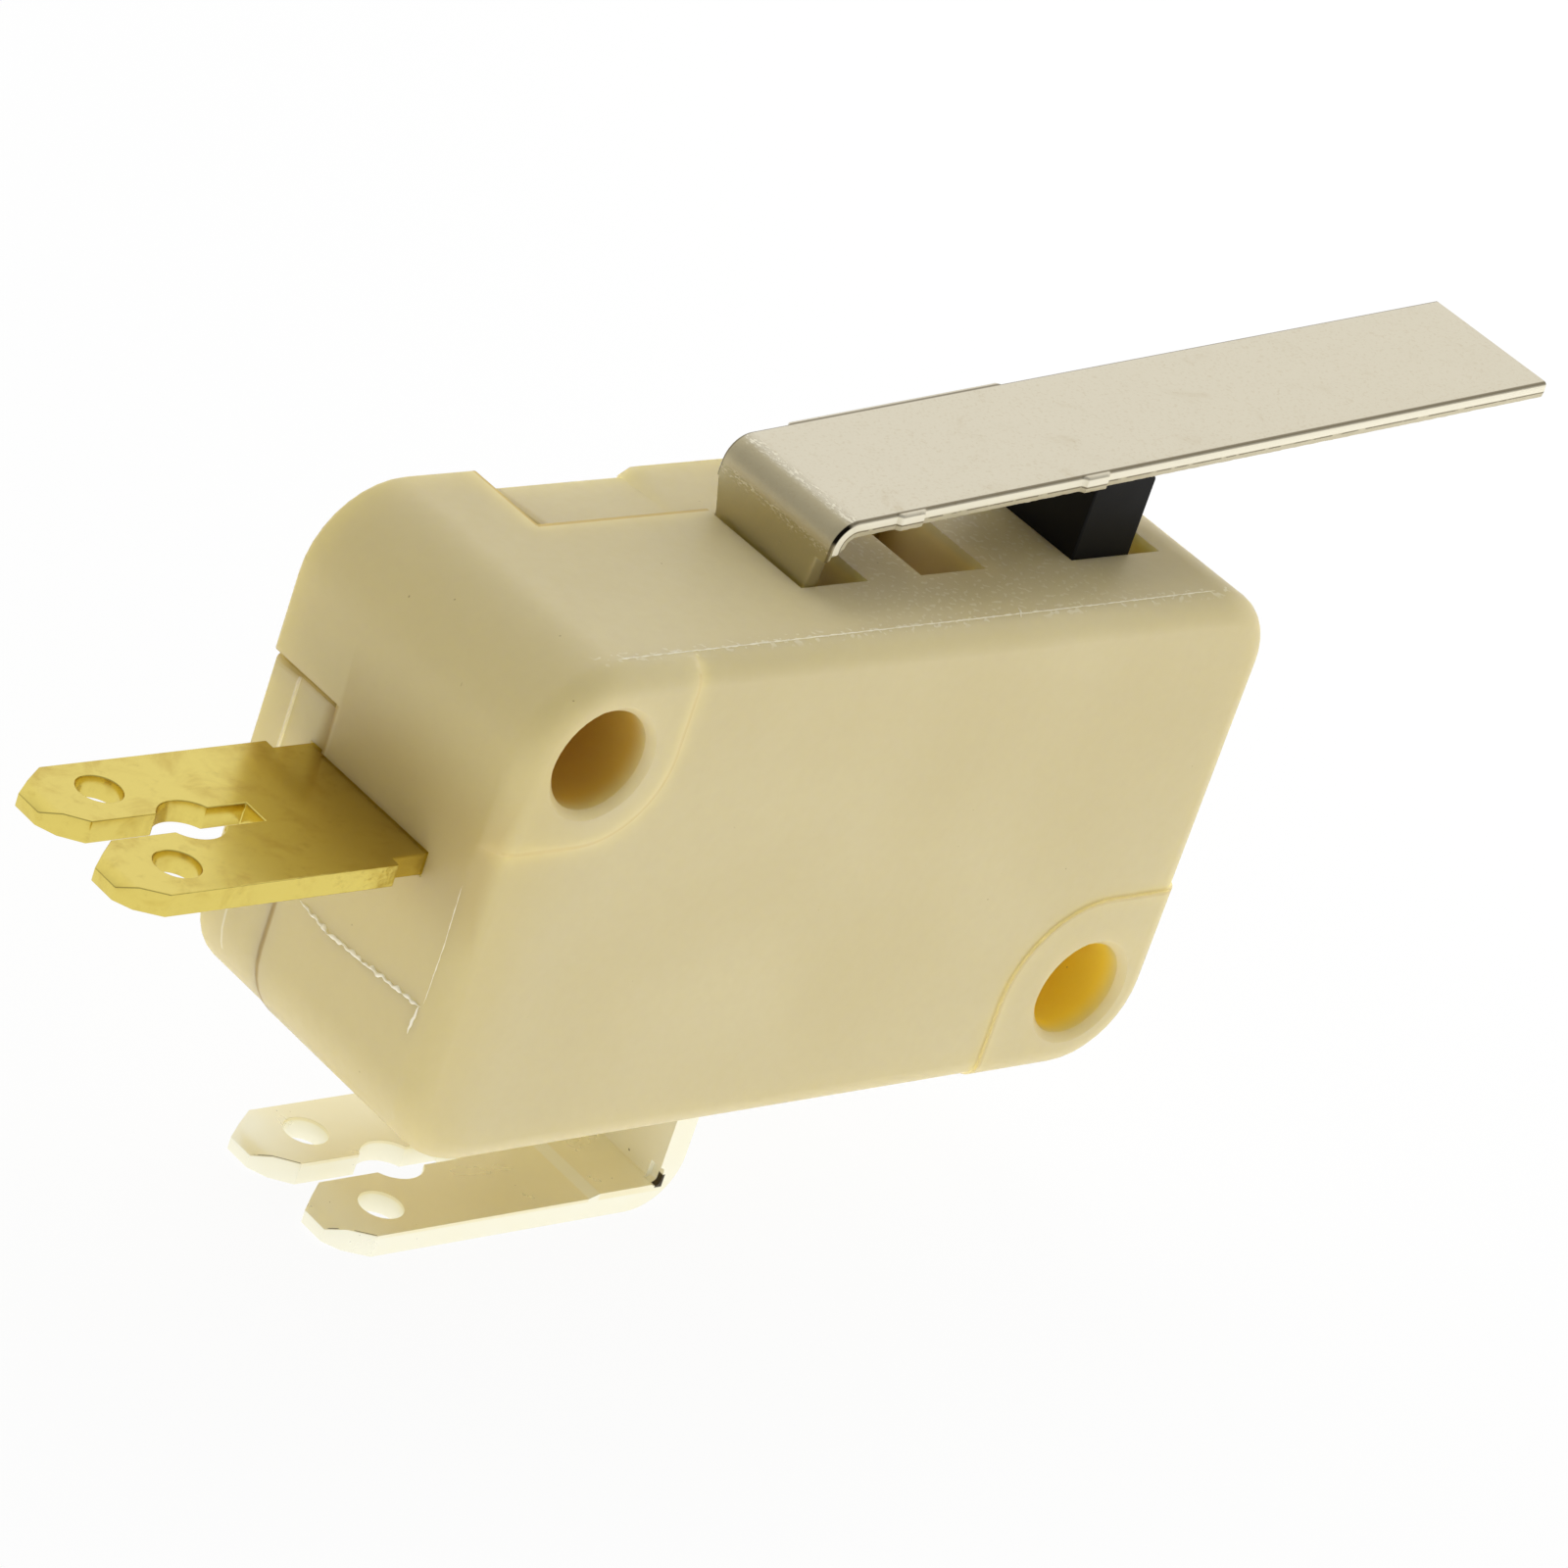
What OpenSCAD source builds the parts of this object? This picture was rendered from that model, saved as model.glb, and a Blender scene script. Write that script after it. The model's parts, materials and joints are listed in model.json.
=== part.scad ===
// Snap-action micro switch with a long hinge lever and two forked tab terminals.
// The origin is on the axis of the lower mounting hole, half way through the body.
// +X runs along the body towards the lever's tip, -Y is the front face, +Z is up.

/* [Body] */
// Length of the moulded body
body_l = 27.8; // [27.4:0.1:32]
// Height of the moulded body
body_h = 15.9; // [15.5:0.1:19]
// Width of the moulded body between its two faces
body_w = 10.3; // [9.8:0.1:13]
// Diameter of the two mounting holes
hole_d = 3.1; // [2.6:0.05:3.4]
// Depth of the sloped mouths of the mounting holes
mouth = 0.22; // [0.1:0.01:0.4]
// Distance from each mounting hole's axis to the two body edges next to it
hole_edge = 2.8; // [2.6:0.05:3.2]
// Radius of the full-depth boss about each mounting hole
boss_r = 2.4; // [2.2:0.05:2.6]
// Rounding of each boss's rear edge
boss_edge_r = 0.2; // [0.1:0.05:0.6]
// Radius of the raised pad about the upper mounting hole
upper_pad_r = 2.65; // [2.5:0.05:2.9]
// Radius of the raised pad about the lower mounting hole
lower_pad_r = 3.2; // [2.9:0.05:3.4]
// Height of the hole pads above the two faces
pad_proud = 0.1; // [0.05:0.01:0.3]
// Radius of the body's upper right corner
corner_tr = 2.2; // [0.9:0.1:2.6]
// Radius of the body's lower left corner
corner_bl = 2.8; // [0.9:0.1:3.4]
// Rounding of the front face's edge
front_edge_r = 0.8; // [0.3:0.05:0.85]
// Thickness of the front wall
front_wall = 1.2; // [0.9:0.1:1.6]
// Thickness of the end wall that holds the end terminal
end_wall = 2.4; // [1.8:0.1:2.8]
// Thickness of the end wall under the lever
right_wall = 1.4; // [1.2:0.1:1.8]
// Thickness of the floor that holds the common terminal
floor_t = 2.0; // [1.4:0.1:2.4]
// Thickness of the roof around the plunger
roof_t = 1.5; // [1.2:0.1:2]

/* [Cover] */
// Depth of the cover from the seam to the rear face
cover_w = 2.95; // [2.4:0.05:3.05]
// How far the cover's ends and underside are set in from the body's
cover_inset = 0.05; // [0.03:0.01:0.3]
// Drop of the cover's top below the body's, behind the upper mounting hole
cover_drop = 0.38; // [0.25:0.01:0.6]
// Rise of the cover's top behind the lever
cover_step = 0.12; // [0.05:0.01:0.25]
// Place along the body where the cover's top starts to rise
cover_step_x = -14.4; // [-16:0.1:-13]
// Length of the slope up to the raised part of the cover's top
cover_step_l = 0.8; // [0.4:0.1:1.5]
// Rounding of the cover's rear edge
cover_edge_r = 0.2; // [0.1:0.05:0.6]
// Rounding of the cover's corners beside the two bosses
cover_corner_r = 0.35; // [0.2:0.05:0.5]
// Width of the band left behind the end terminal's panel
panel_band = 1.2; // [0.8:0.05:1.4]
// Depth of the panel in the cover's end, round the end terminal
panel_depth = 0.25; // [0.1:0.05:0.5]
// Reach of the panel above and below the end terminal
panel_reach = 1.4; // [0.8:0.1:1.5]
// Thickness of the cover's rear wall
cover_wall = 1.2; // [0.8:0.1:1.3]

/* [Lever slots] */
// Left edge of the slot that holds the lever
slot_x = -13.65; // [-14:0.05:-13]
// Distance between the lever slot and the spare slot
slot_pitch = 4.5; // [4:0.05:5]
// Length of each lever slot along the body
slot_l = 2.5; // [2.2:0.05:2.8]
// Depth of each lever slot
slot_depth = 3.0; // [2.95:0.05:3.4]
// Thickness of the moulded block round the lever slots
slot_wall = 1.0; // [0.8:0.1:1.2]

/* [Lever] */
// Thickness of the lever strip
lever_t = 0.5; // [0.3:0.05:0.6]
// Width of the lever above the body
lever_w = 5.0; // [4.4:0.1:5.6]
// Width of the lever's foot inside the slot
foot_w = 4.1; // [3.6:0.05:4.2]
// Length of the lever from its bend to its tip
arm_reach = 26.6; // [20:0.1:40]
// Rise of the resting lever above the level
lever_angle = 5.5; // [4:0.1:6.5]
// Lean of the lever's foot from upright
foot_lean = 3; // [1:0.1:3.5]
// Outer radius of the lever's bend
bend_r = 0.9; // [0.8:0.05:1.1]
// Bend centre's distance from the slot's left edge
bend_in = 1.12; // [1.1:0.01:1.3]
// Bend centre's height above the body
bend_rise = 1.35; // [1.2:0.05:1.8]
// Height above the body at which the foot widens into the lever
shoulder_rise = 0.95; // [0.6:0.05:1.1]
// Depth of the lever's hinge axis below the top of the body
hinge_depth = 2.4; // [2.3:0.05:2.5]
// Radius of the rolled bead at the lever's foot
bead_r = 0.45; // [0.4:0.05:0.5]
// Height of the shear nubs on the lever's front edge, and of its rear edge between them
nub_proud = 0.12; // [0.05:0.01:0.2]
// Length of each shear nub
nub_l = 0.95; // [0.5:0.05:1.5]
// Distances of the shear nubs from the bend
nub_at = [1.35, 8.2];

/* [Plunger] */
// Centre of the plunger along the body
plunger_x = -2.15; // [-2.6:0.05:-2.1]
// Length of the plunger along the body
plunger_l = 2.3; // [2:0.05:2.6]
// Width of the plunger across the body
plunger_w = 4.2; // [3.4:0.05:4.25]
// Radius of the plunger's crowned top
crown_r = 3.4; // [2:0.1:6]
// Radius of the plunger's nose
nose_r = 0.8; // [0.5:0.05:1]
// Overhang of the collar that keeps the plunger in
collar_out = 0.45; // [0.3:0.05:0.6]
// Thickness of the plunger's collar
collar_t = 0.9; // [0.6:0.1:1.5]
// Length of the shallow recess beside the plunger
recess_l = 1.1; // [0.5:0.05:1.3]
// Depth of the shallow recess beside the plunger
recess_depth = 0.8; // [0.4:0.1:1]

/* [Terminals] */
// Thickness of the terminal sheet
tab_t = 0.7; // [0.6:0.05:0.85]
// Width of the terminal tabs
tab_w = 6.3; // [6:0.1:6.6]
// Width of the end terminal's neck where it enters the body
neck_w = 5.6; // [4.8:0.1:5.8]
// Width of the gap between the two prongs
fork_gap = 0.9; // [0.6:0.05:1.2]
// Depth of the gap between the two prongs
fork_depth = 6.2; // [5.5:0.05:7]
// Radius of the round opening in the fork
keyhole_r = 0.95; // [0.7:0.05:1.1]
// Distance of the round opening from the tip
keyhole_back = 4.05; // [3.8:0.05:4.4]
// Diameter of the hole in each prong
prong_hole_d = 1.35; // [0.9:0.05:1.5]
// Distance of the prong holes from the tip
prong_hole_back = 2.3; // [2:0.05:2.6]
// Distance of the prong holes from the tab's middle
prong_hole_out = 1.85; // [1.7:0.05:1.95]
// Length of the slope on the outer corner of each prong
tip_outer_l = 1.2; // [0.6:0.05:1.4]
// Width of the slope on the outer corner of each prong
tip_outer_w = 0.85; // [0.5:0.05:1.1]
// Length of the slope on the inner corner of each prong
tip_inner_l = 1.1; // [0.6:0.05:1.3]
// Width of the slope on the inner corner of each prong
tip_inner_w = 0.9; // [0.4:0.05:1]
// Length of the lead-in on the tip's two faces
lead_l = 0.5; // [0.2:0.05:0.6]
// Depth of the lead-in on the tip's two faces
lead_t = 0.15; // [0.1:0.01:0.25]
// Height of the end terminal's upper face above the lower hole's axis
end_tab_z = 6.3; // [6.1:0.05:6.6]
// Length of the end terminal outside the body
end_tab_l = 10; // [9.5:0.05:12]
// Length of the end terminal's neck outside the body
end_neck_l = 1.2; // [0.6:0.05:1.6]
// Right face of the common terminal's leg
common_x = -11.58; // [-12:0.02:-11]
// How much thicker the common terminal's sheet is behind its tab
common_extra = 0.12; // [0.05:0.01:0.2]
// Gap between the body and the common terminal's tab
common_drop = 3.58; // [3:0.02:5]
// Length of the common terminal's tab from its leg's right face to its tip
common_tab_l = 12.2; // [11.6:0.05:14]
// Length of the common terminal's thick neck from its leg's right face
common_neck_l = 2.9; // [2.3:0.05:3.5]
// Length of the slope from the thick neck down to the tab
common_ramp_l = 0.38; // [0.2:0.02:0.6]
// Outer radius of the common terminal's bend
common_bend_r = 1.7; // [1.2:0.05:2]
// Depth of the two relief notches inside the common terminal's bend
relief_d = 0.17; // [0.1:0.01:0.25]
// Height of the relief notches
relief_h = 0.6; // [0.55:0.01:0.75]
// How far the relief notches start below the neck's upper face
relief_low = 0.05; // [0.02:0.01:0.1]
// Reach of the relief notches from the sheet's two edges
relief_in = 0.45; // [0.3:0.05:0.6]
// How far the shoulders inside the body stand out beyond the necks
ear_out = 0.5; // [0.3:0.05:0.8]
// Length of the shoulders inside the body
ear_l = 0.9; // [0.6:0.05:0.95]

/* [Contacts] */
// Distance of the contacts from the inside of the end wall
contact_in = 1.9; // [1.85:0.05:2.2]
// Radius of the contact heads
contact_r = 1.0; // [0.8:0.05:1.1]
// Height of the contact heads
contact_h = 0.55; // [0.4:0.05:0.6]
// Radius of the contact rivets' shanks
shank_r = 0.6; // [0.4:0.05:0.7]
// Radius of the rivets' upset ends
upset_r = 0.8; // [0.75:0.05:0.95]
// Height of the rivets' upset ends
upset_h = 0.25; // [0.15:0.05:0.3]
// Sheet left beyond the contact heads
contact_rim = 0.3; // [0.2:0.05:0.4]

/* [Snap mechanism] */
// Thickness of the contact arm
arm_t = 0.4; // [0.3:0.05:0.5]
// Width of the contact arm
arm_w = 4.6; // [4.4:0.1:5]
// Width of the window that lets the spring through the arm and its uprights
window_w = 2.5; // [2.3:0.05:2.8]
// Distance from the arm's pivot to the spring's hole
spring_arm = 4.8; // [4.4:0.1:5.2]
// Length of the arm's window
window_l = 4.2; // [4:0.05:4.3]
// Turn of the contact arm between its two stops
arm_swing = 5; // [3:0.5:5.5]
// Reach of the open contact arm's stop under the arm's end
stop_reach = 0.4; // [0.2:0.05:0.6]
// Length over which the contact arm thins towards its pivot
arm_taper_l = 0.5; // [0.3:0.05:0.8]
// Thickness of the contact arm's two pivot edges
arm_edge_t = 0.12; // [0.08:0.01:0.2]
// Depth of the notches that the contact arm rocks in
notch_depth = 0.25; // [0.15:0.01:0.3]
// Height of the notches' mouths
notch_h = 0.8; // [0.6:0.05:1]
// Rise of the two uprights above the contact arm
upright_rise = 0.95; // [0.7:0.05:1.1]
// Height of the trip lever's pivot above the arm's
trip_rise = 0.5; // [0.3:0.05:0.7]
// Thickness of the trip lever
trip_t = 0.5; // [0.4:0.05:0.55]
// Width of the trip lever
trip_w = 3.2; // [2.6:0.1:3.6]
// Length of the trip lever from its pivot
trip_l = 6.7; // [6.2:0.1:7]
// Radius of the bead that the trip lever rocks on
trip_bead_r = 0.65; // [0.6:0.05:0.7]
// Overhang of the bead beyond the trip lever's edges
trip_bead_out = 0.3; // [0.2:0.05:0.4]
// Wall moulded round the trip lever's seat
seat_wall = 0.3; // [0.2:0.05:0.4]
// Room for the trip lever in the mouth of its seat
seat_room = 0.5; // [0.4:0.05:0.6]
// Rise of the resting trip lever from its pivot
trip_angle = 17.7; // [16:0.1:19]
// Distance from the trip lever's end to the spring's hole
trip_hole_in = 0.6; // [0.55:0.05:0.8]
// Diameter of the spring wire
wire_d = 0.3; // [0.2:0.02:0.36]
// Mean diameter of the spring's coil
coil_d = 1.6; // [1.2:0.05:1.75]
// Number of turns in the spring
coil_turns = 9; // [6:1:12]
// Diameter of the two holes that the spring hooks into
hook_hole_d = 0.7; // [0.6:0.05:0.8]
// Gap between the spring's two hooks and the sheets that they pass through
hook_room = 0.2; // [0.15:0.01:0.3]
// Length of the spring's two hooks
hook_l = 0.9; // [0.85:0.05:1.1]
// Length of wire that turns from each hook into its leg
hook_bend = 0.3; // [0.2:0.05:0.4]
// Distance from each hook to the first turn of the coil
hook_leg = 1.15; // [0.9:0.05:1.4]

/* [Fits] */
// Clearance of sliding and seated pieces
fit = 0.05; // [0.03:0.01:0.08]
// Clearance of the pieces that press on one another at rest
touch = 0.03; // [0.02:0.005:0.05]
// Clearance of the rivets in their holes
rivet_fit = 0.02; // [0.01:0.005:0.03]

/* [Hidden] */
$fn = 64;
edge_fn = 36;
over = 1;
far = 60;
cream = [0.80, 0.74, 0.57];
black = [0.06, 0.06, 0.06];
nickel = [0.78, 0.75, 0.67];
brass = [0.72, 0.62, 0.30];
tinned = [0.86, 0.83, 0.72];
silver = [0.86, 0.86, 0.84];
copper = [0.72, 0.46, 0.27];
steel = [0.60, 0.60, 0.62];

// Box of the body
x_left = hole_edge - body_l;
x_right = hole_edge;
z_bottom = -hole_edge;
z_top = body_h - hole_edge;
y_front = -body_w / 2;
y_back = body_w / 2;
y_seam = y_back - cover_w;
x_end_wall = x_left + end_wall;
z_floor = z_bottom + floor_t;
z_roof = z_top - roof_t;
upper_hole = [x_left + hole_edge, z_top - hole_edge];
lower_hole = [0, 0];
corners = [[-1, -1, corner_bl], [1, -1, hole_edge], [1, 1, corner_tr], [-1, 1, hole_edge]];

// Lever: its hinge axis, its bend and the level of its underside over the plunger
hinge = [slot_x - fit, z_top - hinge_depth];
bend = [slot_x + bend_in, z_top + bend_rise];
bend_in_r = bend_r - lever_t;
lever_over_plunger = bend[1] + bend_in_r / cos(lever_angle) + (plunger_x - bend[0]) * tan(lever_angle);

// Terminals
end_tab_low = end_tab_z - tab_t;
end_tip_x = x_left - end_tab_l;
common_t = tab_t + common_extra;
common_left = common_x - common_t;
common_top = z_bottom - common_drop;
common_tip_x = common_x - common_tab_l;

// Contacts and contact arm: the closed contacts set the height of the arm
contact_x = x_end_wall + contact_in;
arm_z = end_tab_low - 2 * contact_h - touch - arm_t / 2;
arm_pivot = [common_left + notch_depth, arm_z];
arm_tip_x = arm_pivot[0] - fit;
arm_left = contact_x - contact_r - contact_rim;
arm_stop_l = arm_left - x_end_wall + stop_reach;
arm_stop_z = arm_z - arm_t / 2 / cos(arm_swing) - (arm_pivot[0] - arm_left) * tan(arm_swing) - fit;
upright_top = arm_z + upright_rise;

// Trip lever: its pivot, and the plunger's nose on its upper face
trip = [x_right - right_wall - trip_bead_r, arm_z + trip_rise];
nose_gap = trip_t / 2 + nose_r + touch;
nose_z = trip[1] + nose_gap / cos(trip_angle) + (trip[0] - plunger_x) * tan(trip_angle);
crown_z = lever_over_plunger - (crown_r + touch) / cos(lever_angle);
trip_hole = trip_l - trip_hole_in;
trip_bead_w = trip_w + 2 * trip_bead_out;
seat_lip = trip_t + seat_room;
seat_flare = trip_l * tan(trip_angle) + seat_lip / 2;

// Spring: the wire drops through the arm's hole and rises through the trip lever's
wire_lift = wire_d / 2 + hook_room;
hook_a = [arm_pivot[0] - spring_arm, 0, arm_z + arm_t / 2 + wire_lift];
trip_up = [sin(trip_angle), 0, cos(trip_angle)];
trip_out = [-cos(trip_angle), 0, sin(trip_angle)];
hook_b = [trip[0], 0, trip[1]] + trip_hole * trip_out - (trip_t / 2 + wire_lift) * trip_up;
spring_l = norm(hook_b - hook_a);
spring_u = (hook_b - hook_a) / spring_l;
spring_v = [-spring_u[2], 0, spring_u[0]];
wire_sides = 6;
turn_steps = 14;
coil_steps = coil_turns * turn_steps;

function unit(v) = v / norm(v);

// A flat (x, z) outline carried along Y
module along_y(y0, y1) {
    translate([0, y1, 0]) rotate([90, 0, 0]) linear_extrude(y1 - y0) children();
}

// A round bar along Y
module bar_y(at, r, y0, y1) {
    translate([at[0], y1, at[1]]) rotate([90, 0, 0]) cylinder(r = r, h = y1 - y0);
}

// One corner of the body, with its outer face's edge rounded
module corner_post(r, depth, edge_r) {
    rotate_extrude($fn = edge_fn) intersection() {
        square([r, depth]);
        union() {
            square([r, depth - edge_r]);
            square([r - edge_r, depth]);
            translate([r - edge_r, depth - edge_r]) circle(edge_r);
        }
    }
}

// The body's outline, set in and dropped at the top, from a plain face to a face with a rounded edge
module slab(inset, drop, y_plain, y_face, edge_r) {
    hull() for (c = corners) {
        r = max(c[2] - inset, edge_r);
        x = c[0] < 0 ? x_left + inset + r : x_right - inset - r;
        z = c[1] < 0 ? z_bottom + inset + r : z_top - drop - r;
        translate([x, y_plain, z]) rotate([y_face < y_plain ? 90 : -90, 0, 0])
            corner_post(r, abs(y_face - y_plain), edge_r);
    }
}

// The corner region about one mounting hole, out past the body's two edges
module corner_region(r) {
    reach = hole_edge + over;
    circle(r);
    translate([-reach, -r]) square([reach, r + reach]);
    translate([-reach, 0]) square([reach + r, reach]);
}

// The corner regions about both mounting holes
module corner_regions(upper_r, lower_r) {
    translate(upper_hole) corner_region(upper_r);
    translate(lower_hole) rotate(180) corner_region(lower_r);
}

// The hollow that holds the mechanism
module cavity(boss_grow) {
    difference() {
        translate([x_end_wall, z_floor])
            square([x_right - right_wall - x_end_wall, z_roof - z_floor]);
        corner_regions(boss_r + boss_grow, boss_r + boss_grow);
        translate([slot_x - slot_wall, z_top - slot_depth - slot_wall])
            square([slot_pitch + slot_l + 2 * slot_wall, slot_depth]);
        translate([trip[0] - trip_bead_r - seat_wall, trip[1] - trip_bead_r - seat_wall])
            square([far, 2 * (trip_bead_r + seat_wall)]);
        translate([x_end_wall - over, z_floor - over])
            square([over + arm_stop_l, arm_stop_z - z_floor + over]);
    }
}

// The round seat of the trip lever's bead and its flared mouth
module trip_seat() {
    translate(trip) {
        circle(trip_bead_r + fit);
        polygon([[0, -seat_lip / 2], [-trip_bead_r, -seat_lip / 2], [-trip_l, -seat_flare],
                 [-trip_l, seat_flare], [-trip_bead_r, seat_lip / 2], [0, seat_lip / 2]]);
    }
}

// Passages for the two terminals
module terminal_passages() {
    translate([x_left - over, -neck_w / 2 - fit, end_tab_low - fit])
        cube([end_wall + 2 * over, neck_w + 2 * fit, tab_t + 2 * fit]);
    translate([common_left - fit, -tab_w / 2 - fit, z_bottom - over])
        cube([common_t + 2 * fit, tab_w + 2 * fit, floor_t + 2 * over]);
}

// One lever slot with the seat of the lever's bead
module lever_slot(x) {
    y0 = -foot_w / 2 - fit;
    translate([x, y0, z_top - slot_depth]) cube([slot_l, y_seam + over - y0, slot_depth + over]);
    bar_y([x + hinge[0] - slot_x, hinge[1]], bead_r + fit, y0, y_seam + over);
}

// Opening for the plunger and the shallow recess beside it
module plunger_opening() {
    y0 = -plunger_w / 2 - fit;
    x0 = plunger_x - plunger_l / 2 - fit;
    translate([x0, y0, z_roof - over])
        cube([plunger_l + 2 * fit, y_seam + over - y0, roof_t + 2 * over]);
    translate([x0, y0, z_top - recess_depth])
        cube([plunger_l + 2 * fit + recess_l, y_seam + over - y0, recess_depth + over]);
}

// One mounting hole through both pads, with its two mouths sloped
module mounting_hole(at) {
    r = hole_d / 2;
    bar_y(at, r, y_front - over, y_back + over);
    for (face = [-1, 1])
        translate([at[0], face * (y_back + pad_proud - mouth), at[1]]) rotate([-face * 90, 0, 0])
            cylinder(r1 = r, r2 = r + 2 * mouth, h = 2 * mouth);
}

module housing() {
    color(cream) difference() {
        union() {
            slab(0, 0, y_seam, y_front, front_edge_r);
            intersection() {
                slab(0, 0, y_seam, y_front - pad_proud, front_edge_r);
                along_y(y_front - over, y_seam) corner_regions(upper_pad_r, lower_pad_r);
            }
            intersection() {
                slab(0, 0, y_seam - over, y_back + pad_proud, boss_edge_r);
                along_y(y_seam - over, y_back + over) corner_regions(boss_r, boss_r);
            }
        }
        along_y(y_front + front_wall, y_seam + over) cavity(0);
        along_y(-trip_bead_w / 2 - fit, y_seam + over) trip_seat();
        mounting_hole(upper_hole);
        mounting_hole(lower_hole);
        lever_slot(slot_x);
        lever_slot(slot_x + slot_pitch);
        plunger_opening();
        terminal_passages();
    }
}

// The stretch of the cover's top that rises behind the lever
module cover_rise() {
    step_end = cover_step_x + cover_step_l;
    polygon([[cover_step_x, z_bottom - over], [cover_step_x, z_top - cover_drop],
             [step_end, z_top - cover_drop + cover_step], [x_right + over, z_top - cover_drop + cover_step],
             [x_right + over, z_bottom - over]]);
}

// What rounds off one corner of the cover, which lies towards way from the corner
module rounded_off(corner, way) {
    translate(corner) scale(way) difference() {
        translate([-over, -over]) square(over + cover_corner_r);
        translate([cover_corner_r, cover_corner_r]) circle(cover_corner_r);
    }
}

// What rounds off the cover's four corners beside the bosses
module cover_corners() {
    away = boss_r + fit;
    rounded_off([upper_hole[0] + away, z_top - cover_drop], [1, -1]);
    rounded_off([x_left + cover_inset, upper_hole[1] - away], [1, -1]);
    rounded_off([lower_hole[0] - away, z_bottom + cover_inset], [-1, 1]);
    rounded_off([x_right - cover_inset, lower_hole[1] + away], [-1, 1]);
}

module cover() {
    color(cream) difference() {
        union() {
            slab(cover_inset, cover_drop, y_seam, y_back, cover_edge_r);
            intersection() {
                slab(cover_inset, cover_drop - cover_step, y_seam, y_back, cover_edge_r);
                along_y(y_seam, y_back) cover_rise();
            }
        }
        translate([x_left - over, y_seam - over, end_tab_low - panel_reach])
            cube([over + cover_inset + panel_depth, over + cover_w - panel_band, tab_t + 2 * panel_reach]);
        along_y(y_seam - over, y_back + over) {
            corner_regions(boss_r + fit, boss_r + fit);
            cover_corners();
        }
        along_y(y_seam - over, y_back - cover_wall) cavity(right_wall / 2);
        terminal_passages();
    }
}

module plunger() {
    color(black) along_y(-plunger_w / 2, plunger_w / 2) {
        intersection() {
            translate([plunger_x - plunger_l / 2, z_roof - fit - collar_t])
                square([plunger_l, far]);
            translate([plunger_x, crown_z]) circle(crown_r);
        }
        translate([plunger_x - plunger_l / 2 - collar_out, z_roof - fit - collar_t])
            square([plunger_l + 2 * collar_out, collar_t]);
        translate([plunger_x - nose_r, nose_z]) square([2 * nose_r, z_roof - fit - nose_z]);
        translate([plunger_x, nose_z]) circle(nose_r);
    }
}

// Side view of the lever strip: arm, bend, foot and rolled bead
module lever_profile() {
    translate(bend) {
        rotate(lever_angle) translate([0, bend_in_r]) square([arm_reach, lever_t]);
        rotate(-foot_lean) translate([-bend_r, -bend_rise - hinge_depth])
            square([lever_t, bend_rise + hinge_depth]);
        intersection() {
            difference() {
                circle(bend_r);
                circle(bend_in_r);
            }
            polygon([[0, 0], far * [-sin(lever_angle), cos(lever_angle)], far * [-1, 1],
                     far * [-cos(foot_lean), sin(foot_lean)]]);
        }
    }
    translate(hinge) circle(bead_r);
}

module lever() {
    color(nickel) {
        intersection() {
            along_y(-lever_w / 2, lever_w / 2) lever_profile();
            translate([-far, -far, z_top + shoulder_rise]) cube([2 * far, 2 * far, far]);
        }
        along_y(-foot_w / 2, foot_w / 2) lever_profile();
        translate([bend[0], 0, bend[1]]) rotate([0, -lever_angle, 0]) {
            for (at = nub_at) translate([at, -lever_w / 2 - nub_proud, bend_in_r])
                cube([nub_l, lever_w / 2, lever_t]);
            translate([nub_at[0], 0, bend_in_r])
                cube([nub_at[1] + nub_l - nub_at[0], lever_w / 2 + nub_proud, lever_t]);
        }
    }
}

// Forked tab with its tip at the origin, running along +X
module forked_tab(l) {
    half = tab_w / 2;
    slot = fork_gap / 2;
    difference() {
        polygon([[0, tip_outer_w - half], [tip_outer_l, -half], [l, -half],
                 [l, half], [tip_outer_l, half], [0, half - tip_outer_w]]);
        polygon([[0, -slot - tip_inner_w], [tip_inner_l, -slot], [fork_depth, -slot],
                 [fork_depth, slot], [tip_inner_l, slot], [0, slot + tip_inner_w]]);
        translate([keyhole_back, 0]) circle(keyhole_r);
        for (side = [-1, 1]) translate([prong_hole_back, side * prong_hole_out]) circle(prong_hole_d / 2);
    }
}

// The lead-ins across both faces of a forked tab with its tip at the origin
module lead_ins() {
    along_y(-tab_w, tab_w) for (face = [0, 1]) translate([0, face * tab_t]) mirror([0, face])
        polygon([[-lead_l, 2 * lead_t], [2 * lead_l, -lead_t], [-lead_l, -lead_t]]);
}

module end_terminal() {
    inner_x = contact_x + contact_r + contact_rim;
    shoulder_x = x_left - end_neck_l;
    color(brass) difference() {
        translate([0, 0, end_tab_low]) linear_extrude(tab_t) {
            translate([end_tip_x, 0]) forked_tab(shoulder_x - end_tip_x);
            translate([shoulder_x - fit, -neck_w / 2])
                square([x_end_wall + fit + ear_l - shoulder_x, neck_w]);
            translate([x_end_wall + fit, -neck_w / 2 - ear_out]) square([ear_l, neck_w + 2 * ear_out]);
            translate([x_end_wall, -arm_w / 2]) square([inner_x - x_end_wall, arm_w]);
        }
        translate([end_tip_x, 0, end_tab_low]) lead_ins();
        translate([contact_x, 0, end_tab_low - over])
            cylinder(r = shank_r + rivet_fit, h = tab_t + 2 * over);
    }
}

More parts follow.
